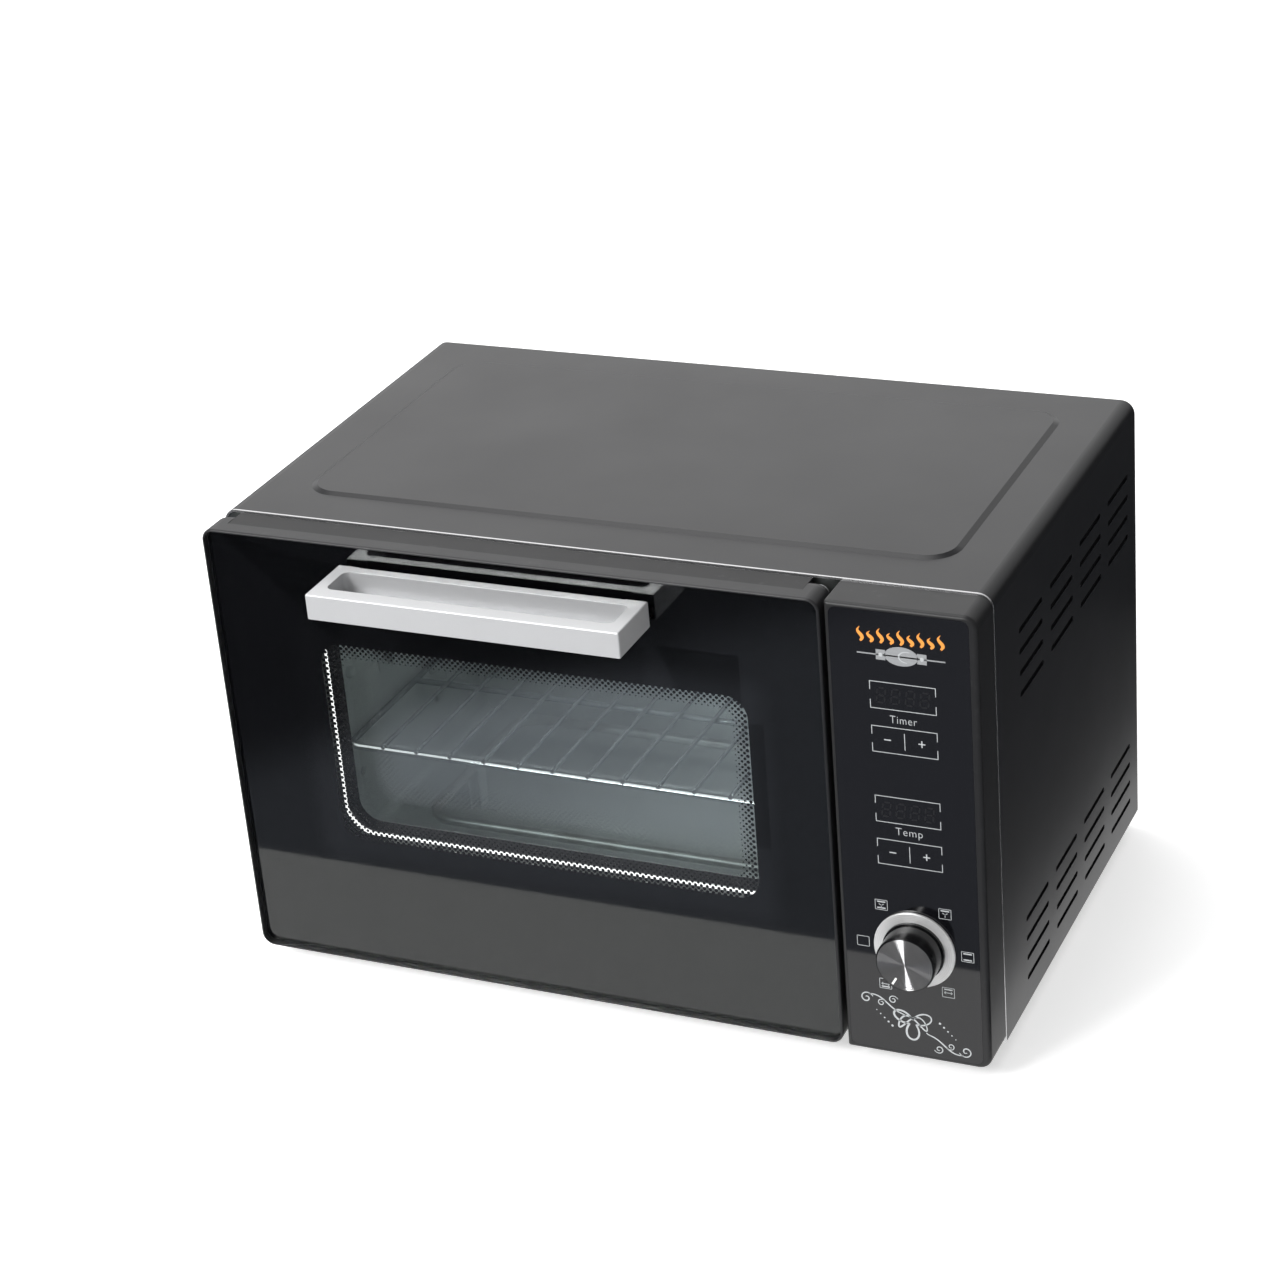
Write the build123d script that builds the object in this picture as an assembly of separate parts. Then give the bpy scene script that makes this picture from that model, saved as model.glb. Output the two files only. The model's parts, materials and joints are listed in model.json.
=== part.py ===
from build123d import *

import os
from math import cos, radians, sin, sqrt

# A bench-top rotisserie oven with a drop-down glass door and a control panel on the right.
# Every piece is drawn in millimetres from the casing's lower left front corner: x to the right,
# y to the back from the seam between casing and door, z up from the casing's bottom edge.
# save() moves each piece once, so that the stored origin is on the table under the middle.

# --- casing ---
CASE_W = 480.0
CASE_D = 281.3
CASE_H = 286.7
CASE_R = 8.5  # rounded top edges
SHEET = 0.8
HEM_T = 1.3  # folded front edge
HEM_L = 8.0
FLANGE = 12.0  # turned-in edges at the back and the bottom
EMBOSS_H = 1.4  # raised field of the top
EMBOSS_SLOPE = 3.5
EMBOSS_MARGIN_X = 34.0
EMBOSS_MARGIN_FRONT = 33.0
EMBOSS_MARGIN_BACK = 28.0
EMBOSS_R = 20.0
FOOT_H = 12.0
FOOT_R = 14.0
FOOT_INSET = 38.0
PLATE_GAP = 0.2  # between sheets that sit inside each other
SCREW_R = 1.5
SCREW_HOLE_R = 1.7
HEAD_R = 3.4
HEAD_H = 1.8

# --- louvres, in both side walls ---
SLOT_W = 3.5
SLOT_COLS = 4
SLOT_FIRST_Y = 65.0
SLOT_REAR = 39.3  # last column, in front of the back
SLOT_PITCH_Y = (CASE_D - SLOT_FIRST_Y - SLOT_REAR) / (SLOT_COLS - 1)
SLOT_LAND = 15.5  # metal between two slots of a row
SLOT_L = SLOT_PITCH_Y - SLOT_LAND
SLOT_ROWS = 4
SLOT_PITCH_Z = 13.3
SLOT_LOW_Z = 17.0  # lowest row of the lower block
SLOT_TOP_DROP = 42.7  # highest row of the upper block, below the top

# --- door and control panel share the front ---
PANEL_W = 87.4
PANEL_GAP = 2.6  # between door and control panel
DOOR_W = CASE_W - PANEL_W - PANEL_GAP

# --- cooking cavity ---
CAV_X0 = 22.0
CAV_RIGHT = 23.4  # from the cavity to the door's right edge
CAV_W = DOOR_W - CAV_RIGHT - CAV_X0
CAV_Z0 = 24.0
CAV_TOP = 36.7  # from the cavity to the top
CAV_H = CASE_H - CAV_TOP - CAV_Z0
CAV_REAR = 24.3  # from the cavity to the back
CAV_BACK = CASE_D - CAV_REAR
CAV_R = 6.0
CAV_FLANGE = 6.0
FRAME_SET = 1.0  # front bulkhead behind the seam
DIMPLE_R = 4.5
DIMPLE_Y = (81.0, CAV_BACK - 72.0)
DIMPLE_CUT = SHEET / 2  # the dimples start inside the wall
DIMPLE_Z = 91.0
DIMPLE_PITCH = 49.0
RIVET_Z = 68.0
RIVET_R = 2.6
RIVET_T = 1.2

# --- wire rack ---
RAIL_R = 2.0
ROD_R = 1.3
ROD_PITCH = 23.8
ROD_MARGIN = 15.0  # clear of the side rails' bends
RACK_FRONT_Y = 62.5
RACK_BACK_GAP = 8.0
RACK_SIDE_GAP = 1.5
ROD_COUNT = int((CAV_W - 2 * (RACK_SIDE_GAP + ROD_MARGIN)) / ROD_PITCH)
WELD_BITE = 0.4  # the weld sinks each rod a little into the rail
REST_GAP = 0.3

# --- heaters ---
TUBE_R = 3.25
HEATER_FRONT_Y = 60.0
HEATER_BACK_Y = CAV_BACK - 57.0
HEATER_LEFT_X = 78.0
HEATER_BEND = 18.0
HEATER_LIFT = 30.0  # lower tube above the floor
HEATER_DROP = 24.0  # upper tube below the ceiling
HEATER_OUT = 20.0  # tube end past the cavity wall
INSULATOR_R = 5.0
CLIP_T = 1.2
CLIP_W = 9.0

# --- spit drive ---
SPIT_Y = 130.0
SPIT_RISE = 116.0  # spit axis above the cavity floor
SPIT_SQUARE = 6.2
SPIT_SOCKET_L = 12.0
COUPLING_R = 6.0
COUPLING_IN = 7.0  # length inside the cavity
COUPLING_OUT = 13.0
COUPLING_FLANGE_R = 8.5
COUPLING_FLANGE_T = 2.0
MOTOR_R = 24.0
MOTOR_L = 22.0
MOTOR_SHAFT_R = 2.5
MOTOR_GAP = 16.0  # bracket plate stands this far off the cavity wall
BRACKET_T = 1.2
RUN_GAP = 0.05  # shaft in its bearing

# --- door ---
DOOR_T = 27.8
DOOR_LOW = 2.0  # the door reaches this far below the casing's edge
DOOR_TOP_GAP = 0.7
DOOR_R = 8.0
DOOR_GAP = 1.0  # between the door's back and the seam
BEZEL_T = 1.7  # rim round the glass
BEZEL_WALL = 8.0
GLASS_T = 4.0
GLASS_SEAT = 0.2
RAIL_H = 18.0  # solid bottom rail that holds the hinge pins
PANEL_T = 0.8
PLUG_GAP = 4.0  # raised inner panel inside the cavity's mouth
PLUG_REACH = 3.0
PAN_LIP = 3.0
PAN_SINK = 2.0  # inner panel below the bezel's back face, room for screw heads
ROUND_UNDER = 10.0  # the door's lower back edge, clear of the bulkhead as it turns
WINDOW_X0 = CAV_X0 + 46.6
WINDOW_X1 = CAV_X0 + CAV_W - 24.6
WINDOW_Z0 = CAV_Z0 + 61.5
WINDOW_Z1 = CAV_Z0 + CAV_H - 32.5
WINDOW_R = 14.0
INNER_MARGIN = 5.0  # the inner window is larger than the printed one
INNER_GLASS_T = 3.0
INNER_GLASS_LAP = 7.0
CLIP_L = 30.0
CLIP_INSET = 40.0
CLIP_SHEET = 1.0
CLIP_OUT = 8.0  # past the inner pane's edge
CLIP_OVER = 4.0  # over the pane
CLIP_TOE = 6.0
STRIP_END = 13.0  # flat strip in the door's top edge
STRIP_D = 16.0
STRIP_T = 1.8
STRIP_SINK = 0.15

# --- door hinge ---
AXIS_Y = -14.0
AXIS_Z = 8.0
PIN_R = 3.0
PIN_L = 15.0
ARM_T = 2.5
ARM_R = 6.0
ARM_INSET = 12.0
ARM_GAP = 0.6
ARM_FOOT_W = 8.0
ARM_FOOT_H = 32.0
ARM_TOE_T = 3.0

# --- handle ---
HANDLE_L = 196.5
HANDLE_LEFT = 4.75  # left of the door's middle
HANDLE_X0 = (DOOR_W - HANDLE_L) / 2 - HANDLE_LEFT
HANDLE_Z0 = CASE_H - 29.7
HANDLE_H = 16.0
HANDLE_REACH = 41.4
HANDLE_END = 8.0
HANDLE_RIM = 10.0
HANDLE_FLOOR = 3.0
HANDLE_WEB = 7.7
POCKET_R = 4.5
HANDLE_RELIEF = 1.3
HANDLE_RELIEF_END = 13.5
HANDLE_BOLT_R = 2.0

# --- control panel ---
PANEL_X0 = DOOR_W + PANEL_GAP
PANEL_WALL = 2.5
PANEL_EDGE = 2.5
PANEL_CORNER = 8.0
OVERLAY_T = 1.0
OVERLAY_INSET = 2.7
OVERLAY_RIGHT = 4.8  # wider margin at the rounded right edge
OVERLAY_R = 4.5
BOSS_R = 4.0
BOSS_INSET = 10.0
DISPLAY_W = 37.0
DISPLAY_H = 15.0
DISPLAY_T = 7.0
DISPLAY_X = PANEL_X0 + PANEL_W / 2
TIMER_Z = CASE_H - 54.2
TEMP_Z = TIMER_Z - 71.5
KEY_Z_TIMER = TIMER_Z - 27.3
KEY_Z_TEMP = TEMP_Z - 27.5
KEY_PITCH = 19.9
KEY_SPRING_R = 3.0
BOARD_T = 1.6
BOARD_W = 66.0
BOARD_BACK = 13.0  # board behind the panel's front wall
KNOB_X = DISPLAY_X + 0.7
KNOB_DROP = 61.3  # below the lower keys
KNOB_Z = KEY_Z_TEMP - KNOB_DROP
KNOB_R = 17.5
KNOB_SKIRT_R = 18.4
KNOB_H = 18.3
KNOB_LIFT = 0.4
SKIRT_H = 3.4
RING_R = 24.2
RING_T = 1.6
CAP_T = 0.5
CAP_MARGIN = 1.0
KNOB_SHAFT_R = 3.0
SHAFT_L = 22.0
SWITCH_W = 26.0
SWITCH_T = 15.0
POINTER_L = 5.0
POINTER_W = 1.2
POINTER_T = 0.4
POINTER_R = 13.2  # middle of the pointer from the knob's axis
POINTER_ANGLE = 240.0  # rest stop, seen from the front, from the right-hand side

# --- back and electrics ---
BACK_T = 0.8
BACK_INSET = 3.0
BACK_SCREW_INSET = 5.0
GLAND_R = 6.0
GLAND_BORE_R = 3.5
GLAND_FLANGE_R = 9.0
GLAND_L = 15.0
VENT_L = 43.5  # slots of the back and of the floor
GLAND_X = CASE_W - 50.0
GLAND_Z = 40.0
POWER_W = 84.0
POWER_D = 130.0
POWER_Y = 70.0
STANDOFF_H = 9.0
STANDOFF_R = 3.0
SENSOR_Y = CAV_BACK - 32.0
SENSOR_Z = CAV_Z0 + CAV_H - 60.0
SENSOR_R = 2.5
SENSOR_L = 26.0

# --- worked-out places ---
BACK_PROUD = BACK_T + HEAD_H
FRONT_REACH = DOOR_T + HANDLE_REACH
TO_STAND = Pos(-CASE_W / 2, (FRONT_REACH - CASE_D - BACK_PROUD) / 2, FOOT_H)
FRAME_Y0 = FRAME_SET
FRAME_Y1 = FRAME_SET + SHEET
CAV_X1 = CAV_X0 + CAV_W
CAV_Z1 = CAV_Z0 + CAV_H
WALL_X = CAV_X1 + SHEET  # outside of the cavity's right wall
SPIT_Z = CAV_Z0 + SPIT_RISE
DOOR_FRONT = -DOOR_T
DOOR_BACK = -DOOR_GAP
DOOR_Z0 = -DOOR_LOW
DOOR_Z1 = CASE_H - DOOR_TOP_GAP
GLASS_Y1 = DOOR_FRONT + GLASS_T
BEZEL_IN = BEZEL_T + BEZEL_WALL
PANEL_BACK = -0.3
PANEL_IN_Y = DOOR_FRONT + PANEL_WALL
BOARD_Y = PANEL_IN_Y + BOARD_BACK
RAIL_FRONT_TOP = DOOR_Z0 + RAIL_H
PAN_Z0 = DOOR_Z0 + RAIL_H - 5.0
RAIL_OFF = RACK_SIDE_GAP + RAIL_R  # middle of the side rail from the cavity wall
RACK_Z = DIMPLE_Z + sqrt((DIMPLE_R + REST_GAP + RAIL_R) ** 2 - RAIL_OFF**2)
RACK_X0 = CAV_X0 + RACK_SIDE_GAP
RACK_X1 = CAV_X1 - RACK_SIDE_GAP
RACK_BACK_Y = CAV_BACK - RACK_BACK_GAP
LOWER_Z = CAV_Z0 + HEATER_LIFT
UPPER_Z = CAV_Z1 - HEATER_DROP
INNER_X0 = WINDOW_X0 - INNER_MARGIN
INNER_X1 = WINDOW_X1 + INNER_MARGIN
INNER_Z0 = WINDOW_Z0 - INNER_MARGIN
INNER_Z1 = WINDOW_Z1 + INNER_MARGIN
PLUG_FACE = PLUG_REACH - PANEL_T
INNER_GLASS_Y1 = PLUG_FACE - GLASS_SEAT
INNER_GLASS_Y0 = INNER_GLASS_Y1 - INNER_GLASS_T
PAN_Y1 = DOOR_BACK - PAN_SINK
PAN_Y0 = PAN_Y1 - PANEL_T
MOTOR_X0 = WALL_X + MOTOR_GAP
HANDLE_MID_Z = HANDLE_Z0 + HANDLE_H / 2
KNOB_BACK = DOOR_FRONT - KNOB_LIFT
KNOB_FACE = DOOR_FRONT - KNOB_H
KNOB_SHAFT_START = KNOB_FACE + 6.0
KNOB_SHAFT_END = KNOB_SHAFT_START + SHAFT_L
ARMS_X = (ARM_INSET, DOOR_W - ARM_INSET - ARM_T)


# --- drawing helpers ---
def block(x0, x1, y0, y1, z0, z1):
    """A box between two corners."""
    size = Box(x1 - x0, y1 - y0, z1 - z0)
    return Pos((x0 + x1) / 2, (y0 + y1) / 2, (z0 + z1) / 2) * size


def upright(x0, x1, z0, z1, y0, y1, r=0.0):
    """A slab that faces the front, with its four corners rounded by r."""
    outline = RectangleRounded(x1 - x0, z1 - z0, r) if r else Rectangle(x1 - x0, z1 - z0)
    plane = Plane(((x0 + x1) / 2, y0, (z0 + z1) / 2), x_dir=(1, 0, 0), z_dir=(0, -1, 0))
    return extrude(plane * outline, -(y1 - y0))


def rod_x(x0, x1, y, z, r):
    """A round bar along x."""
    return Pos((x0 + x1) / 2, y, z) * Rot(0, 90, 0) * Cylinder(r, x1 - x0)


def rod_y(x, y0, y1, z, r):
    """A round bar along y."""
    return Pos(x, (y0 + y1) / 2, z) * Rot(90, 0, 0) * Cylinder(r, y1 - y0)


def rod_z(x, y, z0, z1, r):
    """A round bar along z."""
    return Pos(x, y, (z0 + z1) / 2) * Cylinder(r, z1 - z0)


def screw(seat, direction, length):
    """A pan-head screw with its head's underside at seat, driven along direction."""
    start = Plane(seat, z_dir=direction)
    head = extrude(start * Circle(HEAD_R), -HEAD_H)
    crown = head.edges().sort_by(lambda e: (e.center() - Vector(*seat)).dot(Vector(*direction)))[0]
    return fillet(crown, HEAD_H / 3) + extrude(start * Circle(SCREW_R), length)


def save(name, *solids):
    """Writes the solids of one named piece, moved to the stand frame."""
    moved = [TO_STAND * s for s in solids]
    shape = moved[0] if len(moved) == 1 else Compound(children=moved)
    export_step(shape, f"parts/{name}.step")


# --- casing ---
def louvre_places():
    """Centres of the louvre slots, as (y, z)."""
    top_z = CASE_H - SLOT_TOP_DROP
    low = [SLOT_LOW_Z + i * SLOT_PITCH_Z for i in range(SLOT_ROWS)]
    high = [top_z - i * SLOT_PITCH_Z for i in range(SLOT_ROWS)]
    return [(SLOT_FIRST_Y + c * SLOT_PITCH_Y, z) for c in range(SLOT_COLS) for z in low + high]


def emboss(drop):
    """The raised field of the top, as a sloped solid that starts drop below the top face."""
    x0, x1 = EMBOSS_MARGIN_X, CASE_W - EMBOSS_MARGIN_X
    y0, y1 = EMBOSS_MARGIN_FRONT, CASE_D - EMBOSS_MARGIN_BACK
    foot = Plane(((x0 + x1) / 2, (y0 + y1) / 2, CASE_H - drop))
    crown = foot.offset(EMBOSS_H)
    large = RectangleRounded(x1 - x0, y1 - y0, EMBOSS_R)
    shrink = 2 * EMBOSS_SLOPE
    small = RectangleRounded(x1 - x0 - shrink, y1 - y0 - shrink, EMBOSS_R - EMBOSS_SLOPE)
    return loft([(foot * large).face(), (crown * small).face()])


def case_shell(inset, y0, y1):
    """The casing's outline moved in by inset, open past the bottom edge."""
    r = max(CASE_R - inset, 1.0)
    return upright(inset, CASE_W - inset, -2 * CASE_R, CASE_H - inset, y0, y1, r)


def outer_case():
    """Top and both sides in one folded sheet."""
    over = 1.0
    wrap = case_shell(0, 0, CASE_D) - case_shell(SHEET, -over, CASE_D + over)
    wrap += case_shell(0, 0, HEM_L) - case_shell(HEM_T, -over, HEM_L + over)
    rear = CASE_D - SHEET
    wrap += case_shell(0, rear, CASE_D) - case_shell(FLANGE, rear - over, CASE_D + over)
    wrap &= block(0, CASE_W, 0, CASE_D, 0, CASE_H)
    for x0 in (0, CASE_W - FLANGE):
        wrap += block(x0, x0 + FLANGE, 0, CASE_D, 0, SHEET)
    wrap = wrap + emboss(0) - emboss(SHEET)
    slots = []
    for y, z in louvre_places():
        plane = Plane((0, y, z), x_dir=(0, 1, 0), z_dir=(1, 0, 0))
        slots.append(extrude(plane * SlotOverall(SLOT_L, SLOT_W), CASE_W))
    holes = [rod_y(x, rear - over, CASE_D + over, z, SCREW_HOLE_R) for x, z in back_screw_places()]
    holes += [rod_z(x, y, -over, SHEET + over, SCREW_HOLE_R) for x, y in base_screw_places()]
    return wrap - slots - holes


def back_screw_places():
    """Screws round the back cover, as (x, z)."""
    edge = BACK_INSET + BACK_SCREW_INSET
    sides = [(x, z) for x in (edge, CASE_W - edge) for z in (30.0, CASE_H / 2, CASE_H - 40.0)]
    return sides + [(x, CASE_H - edge) for x in (CASE_W / 6, CASE_W / 2, CASE_W * 5 / 6)]


def base_screw_places():
    """Screws up through the casing's turned-in bottom edges, as (x, y)."""
    return [(x, y) for x in (FLANGE / 2, CASE_W - FLANGE / 2) for y in (40.0, CASE_D / 2, CASE_D - 40.0)]


def back_cover():
    """The flat back sheet with a vent field behind the electrics."""
    y0, y1 = CASE_D, CASE_D + BACK_T
    i = BACK_INSET
    plate = upright(i, CASE_W - i, i, CASE_H - i, y0, y1, CASE_R - i)
    holes = [rod_y(x, y0 - 1, y1 + 1, z, SCREW_HOLE_R) for x, z in back_screw_places()]
    holes.append(rod_y(GLAND_X, y0 - 1, y1 + 1, GLAND_Z, GLAND_R))
    vent_x = (CAV_X1 + CASE_W) / 2
    for row in range(2 * SLOT_ROWS):
        z = CASE_H / 2 + (row - SLOT_ROWS) * SLOT_PITCH_Z
        x0, x1 = vent_x - VENT_L / 2, vent_x + VENT_L / 2
        holes.append(upright(x0, x1, z, z + SLOT_W, y0 - 1, y1 + 1, SLOT_W / 2 - 0.01))
    return plate - holes


def feet_places():
    """Middles of the four feet, as (x, y)."""
    return [(x, y) for x in (FOOT_INSET, CASE_W - FOOT_INSET) for y in (FOOT_INSET, CASE_D - FOOT_INSET)]


def base_plate():
    """The bottom sheet, on the casing's turned-in edges, turned up at front and back."""
    x0, x1 = HEM_T + PLATE_GAP, CASE_W - HEM_T - PLATE_GAP
    y0, y1 = FRAME_Y1 + PLATE_GAP, CASE_D - SHEET - PLATE_GAP
    z0 = SHEET
    plate = block(x0, x1, y0, y1, z0, z0 + SHEET)
    lip = SHEET + 6.0
    plate += block(FLANGE * 3, DOOR_W - FLANGE * 3, y0, y0 + SHEET, z0, z0 + lip)
    plate += block(FLANGE + 2, CASE_W - FLANGE - 2, y1 - SHEET, y1, z0, z0 + lip)
    places = base_screw_places() + feet_places()
    holes = [rod_z(x, y, z0 - 1, z0 + SHEET + 1, SCREW_HOLE_R) for x, y in places]
    for i in range(SLOT_ROWS):
        y = POWER_Y + (i + 0.5) * POWER_D / SLOT_ROWS
        x = CAV_X1 + 18
        holes.append(block(x, x + VENT_L, y, y + SLOT_W, z0 - 1, z0 + SHEET + 1))
    return plate - holes


def foot(x, y):
    """A tapered moulded foot with a recess for its screw."""
    body = Pos(x, y, (SHEET - FOOT_H) / 2) * Cone(FOOT_R - 2, FOOT_R, FOOT_H + SHEET)
    rim = body.edges().sort_by(Axis.Z)[0]
    recess = rod_z(x, y, -FOOT_H - 1, -FOOT_H / 2, HEAD_R + 1.2)
    return fillet(rim, 1.5) - recess - rod_z(x, y, -FOOT_H, SHEET + 1, SCREW_HOLE_R)


def front_frame():
    """The bulkhead behind the door, with the cavity's mouth and the panel's wiring window."""
    edge = HEM_T + PLATE_GAP
    sheet = upright(edge, CASE_W - edge, -CASE_R, CASE_H - edge, FRAME_Y0, FRAME_Y1, CASE_R - edge)
    sheet &= block(0, CASE_W, 0, FRAME_Y1, SHEET + PLATE_GAP / 2, CASE_H)
    y0, y1 = FRAME_Y0 - 1, FRAME_Y1 + 1
    cuts = [upright(CAV_X0, CAV_X1, CAV_Z0, CAV_Z1, y0, y1, CAV_R)]
    wiring = PANEL_X0 + 2 * BOSS_INSET
    cuts.append(upright(wiring, CASE_W - 2 * BOSS_INSET, CASE_H / 3, CASE_H * 0.8, y0, y1, CAV_R))
    reach = ARM_R + ARM_GAP
    for x0 in ARMS_X:
        cuts.append(block(x0 - ARM_GAP, x0 + ARM_T + ARM_GAP, y0, y1, AXIS_Z - reach, AXIS_Z + reach))
    cuts += [rod_y(x, y0, y1, z, SCREW_HOLE_R) for x, z in panel_boss_places() + arm_screw_places()]
    return sheet - cuts


# --- cavity ---
def heater_legs():
    """Heights of the two heaters and depths of each one's two legs."""
    return [(y, z) for z in (LOWER_Z, UPPER_Z) for y in (HEATER_FRONT_Y, HEATER_BACK_Y)]


def motor_screw_places():
    """Rivets of the motor bracket's two feet, as (y, z)."""
    reach = MOTOR_R + 8.0
    return [(SPIT_Y + s * reach, SPIT_Z) for s in (-1, 1)]


def cavity_slab(grow, y0, y1):
    """The cavity's outline grown on all sides, from y0 to y1."""
    g = grow
    return upright(CAV_X0 - g, CAV_X1 + g, CAV_Z0 - g, CAV_Z1 + g, y0, y1, CAV_R + g)


def cavity():
    """The open-fronted liner with pressed rack dimples and a turned-out mouth."""
    box = cavity_slab(SHEET, FRAME_Y1, CAV_BACK + SHEET)
    box += cavity_slab(CAV_FLANGE + SHEET, FRAME_Y1, FRAME_Y1 + SHEET)
    box -= cavity_slab(0, FRAME_Y1 - 1, CAV_BACK)
    inside = block(CAV_X0 - DIMPLE_CUT, CAV_X1 + DIMPLE_CUT, 0, CAV_BACK, 0, CAV_Z1)
    for y in DIMPLE_Y:
        for z in (DIMPLE_Z, DIMPLE_Z + DIMPLE_PITCH):
            for x in (CAV_X0, CAV_X1):
                box += Pos(x, y, z) * Sphere(DIMPLE_R) & inside
    cuts = [rod_x(CAV_X1 - 1, WALL_X + 1, y, z, INSULATOR_R - 1.2) for y, z in heater_legs()]
    cuts.append(rod_x(CAV_X1 - 1, WALL_X + 1, SPIT_Y, SPIT_Z, COUPLING_R + 0.5))
    cuts += [rod_x(CAV_X1 - 1, WALL_X + 1, y, z, SCREW_HOLE_R) for y, z in motor_screw_places()]
    cuts.append(rod_x(CAV_X1 - 1, WALL_X + 1, SENSOR_Y, SENSOR_Z, SENSOR_R + 0.3))
    return box - cuts


def cavity_rivets():
    """Small flat rivets that hold the side insulation, on both walls."""
    places = [(y, RIVET_Z) for y in DIMPLE_Y]
    left = [rod_x(CAV_X0, CAV_X0 + RIVET_T, y, z, RIVET_R) for y, z in places]
    return left + [rod_x(CAV_X1 - RIVET_T, CAV_X1, y, z, RIVET_R) for y, z in places]


def rack():
    """The chrome wire rack: a closed rail with rods laid across it."""
    x0, x1 = RACK_X0 + RAIL_R, RACK_X1 - RAIL_R
    y0, y1 = RACK_FRONT_Y, RACK_BACK_Y
    corner = 4 * RAIL_R
    loop = Plane(((x0 + x1) / 2, (y0 + y1) / 2, RACK_Z)) * RectangleRounded(x1 - x0, y1 - y0, corner)
    path = loop.face().outer_wire()
    start = path @ 0
    frame = sweep(Plane(start, z_dir=path % 0) * Circle(RAIL_R), path)
    middle = (x0 + x1) / 2
    top_z = RACK_Z + RAIL_R + ROD_R - WELD_BITE
    for i in range(ROD_COUNT):
        x = middle + (i - (ROD_COUNT - 1) / 2) * ROD_PITCH
        frame += rod_y(x, y0 - RAIL_R, y1 + RAIL_R, top_z, ROD_R)
    cross_y = (y0 + y1) / 2
    return frame + rod_x(x0, x1, cross_y, RACK_Z, RAIL_R)


def heater(z):
    """A U-shaped tube whose two ends pass through the cavity's right wall."""
    x1 = WALL_X + HEATER_OUT
    corners = [(x1, HEATER_FRONT_Y, z), (HEATER_LEFT_X, HEATER_FRONT_Y, z)]
    corners += [(HEATER_LEFT_X, HEATER_BACK_Y, z), (x1, HEATER_BACK_Y, z)]
    path = FilletPolyline(*corners, radius=HEATER_BEND)
    return sweep(Plane(corners[0], z_dir=(-1, 0, 0)) * Circle(TUBE_R), path)


def insulator(y, z):
    """A stepped ceramic bush round a heater's end."""
    collar = rod_x(WALL_X, WALL_X + 3, y, z, INSULATOR_R + 2)
    neck = rod_x(WALL_X + 3, WALL_X + HEATER_OUT - 5, y, z, INSULATOR_R)
    spigot = rod_x(CAV_X1 - 1, WALL_X, y, z, INSULATOR_R - 1.4)
    return collar + neck + spigot - rod_x(CAV_X1 - 2, WALL_X + HEATER_OUT, y, z, TUBE_R + RUN_GAP)


def heater_clip(z, wall_z):
    """A folded strap that carries a heater's bend from the floor or the ceiling."""
    x, y = HEATER_LEFT_X, (HEATER_FRONT_Y + HEATER_BACK_Y) / 2
    side = 1 if z > wall_z else -1
    lo, hi = sorted((wall_z, z + side * (TUBE_R + CLIP_T)))
    reach = TUBE_R + CLIP_T
    strap = block(x - reach, x + reach, y - CLIP_W / 2, y + CLIP_W / 2, lo, hi)
    hollow = block(x - TUBE_R - RUN_GAP, x + TUBE_R + RUN_GAP, y - CLIP_W, y + CLIP_W, *sorted((wall_z, z)))
    strap = strap - hollow - rod_y(x, y - CLIP_W, y + CLIP_W, z, TUBE_R + RUN_GAP)
    foot_lo, foot_hi = sorted((wall_z, wall_z + side * CLIP_T))
    return strap + block(x + TUBE_R, x + reach + 10, y - CLIP_W / 2, y + CLIP_W / 2, foot_lo, foot_hi)


# --- spit drive ---
def spit_coupling():
    """The turning socket in the right wall, square for the spit and bored for the motor."""
    x0, x1 = CAV_X1 - COUPLING_IN, WALL_X + COUPLING_OUT
    body = rod_x(x0, x1, SPIT_Y, SPIT_Z, COUPLING_R)
    body += rod_x(x0, x0 + COUPLING_FLANGE_T, SPIT_Y, SPIT_Z, COUPLING_FLANGE_R)
    half = SPIT_SQUARE / 2
    body -= block(x0 - 1, x0 + SPIT_SOCKET_L, SPIT_Y - half, SPIT_Y + half, SPIT_Z - half, SPIT_Z + half)
    return body - rod_x(x1 - 6, x1 + 1, SPIT_Y, SPIT_Z, MOTOR_SHAFT_R)


def motor_shaft():
    """The gear motor's output shaft, pressed into the coupling."""
    return rod_x(WALL_X + COUPLING_OUT - 6, MOTOR_X0 + BRACKET_T + 8, SPIT_Y, SPIT_Z, MOTOR_SHAFT_R)


def motor_bracket():
    """A hat-shaped strap that holds the motor off the hot wall."""
    half, z_half = MOTOR_R + 1, 17.0
    z0, z1 = SPIT_Z - z_half, SPIT_Z + z_half
    plate = block(MOTOR_X0, MOTOR_X0 + BRACKET_T, SPIT_Y - half, SPIT_Y + half, z0, z1)
    for side in (-1, 1):
        leg = sorted((SPIT_Y + side * half, SPIT_Y + side * (half - BRACKET_T)))
        plate += block(WALL_X, MOTOR_X0 + BRACKET_T, *leg, z0, z1)
        toe = sorted((SPIT_Y + side * (half - BRACKET_T), SPIT_Y + side * (half + 14)))
        plate += block(WALL_X, WALL_X + BRACKET_T, *toe, z0, z1)
    cuts = [rod_x(MOTOR_X0 - 1, MOTOR_X0 + BRACKET_T + 1, SPIT_Y, SPIT_Z, MOTOR_SHAFT_R + 2)]
    cuts += [rod_x(WALL_X - 1, WALL_X + BRACKET_T + 1, y, z, SCREW_HOLE_R) for y, z in motor_screw_places()]
    return plate - cuts


def spit_motor():
    """The round gear motor with its terminal block."""
    x0 = MOTOR_X0 + BRACKET_T
    body = fillet(rod_x(x0, x0 + MOTOR_L, SPIT_Y, SPIT_Z, MOTOR_R).edges(), 1.0)
    rim = SPIT_Z - MOTOR_R
    body += block(x0 + 4, x0 + MOTOR_L - 4, SPIT_Y - 8, SPIT_Y + 8, rim - 7, rim + 4)
    return body - rod_x(x0 - 1, x0 + 10, SPIT_Y, SPIT_Z, MOTOR_SHAFT_R + RUN_GAP)


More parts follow.
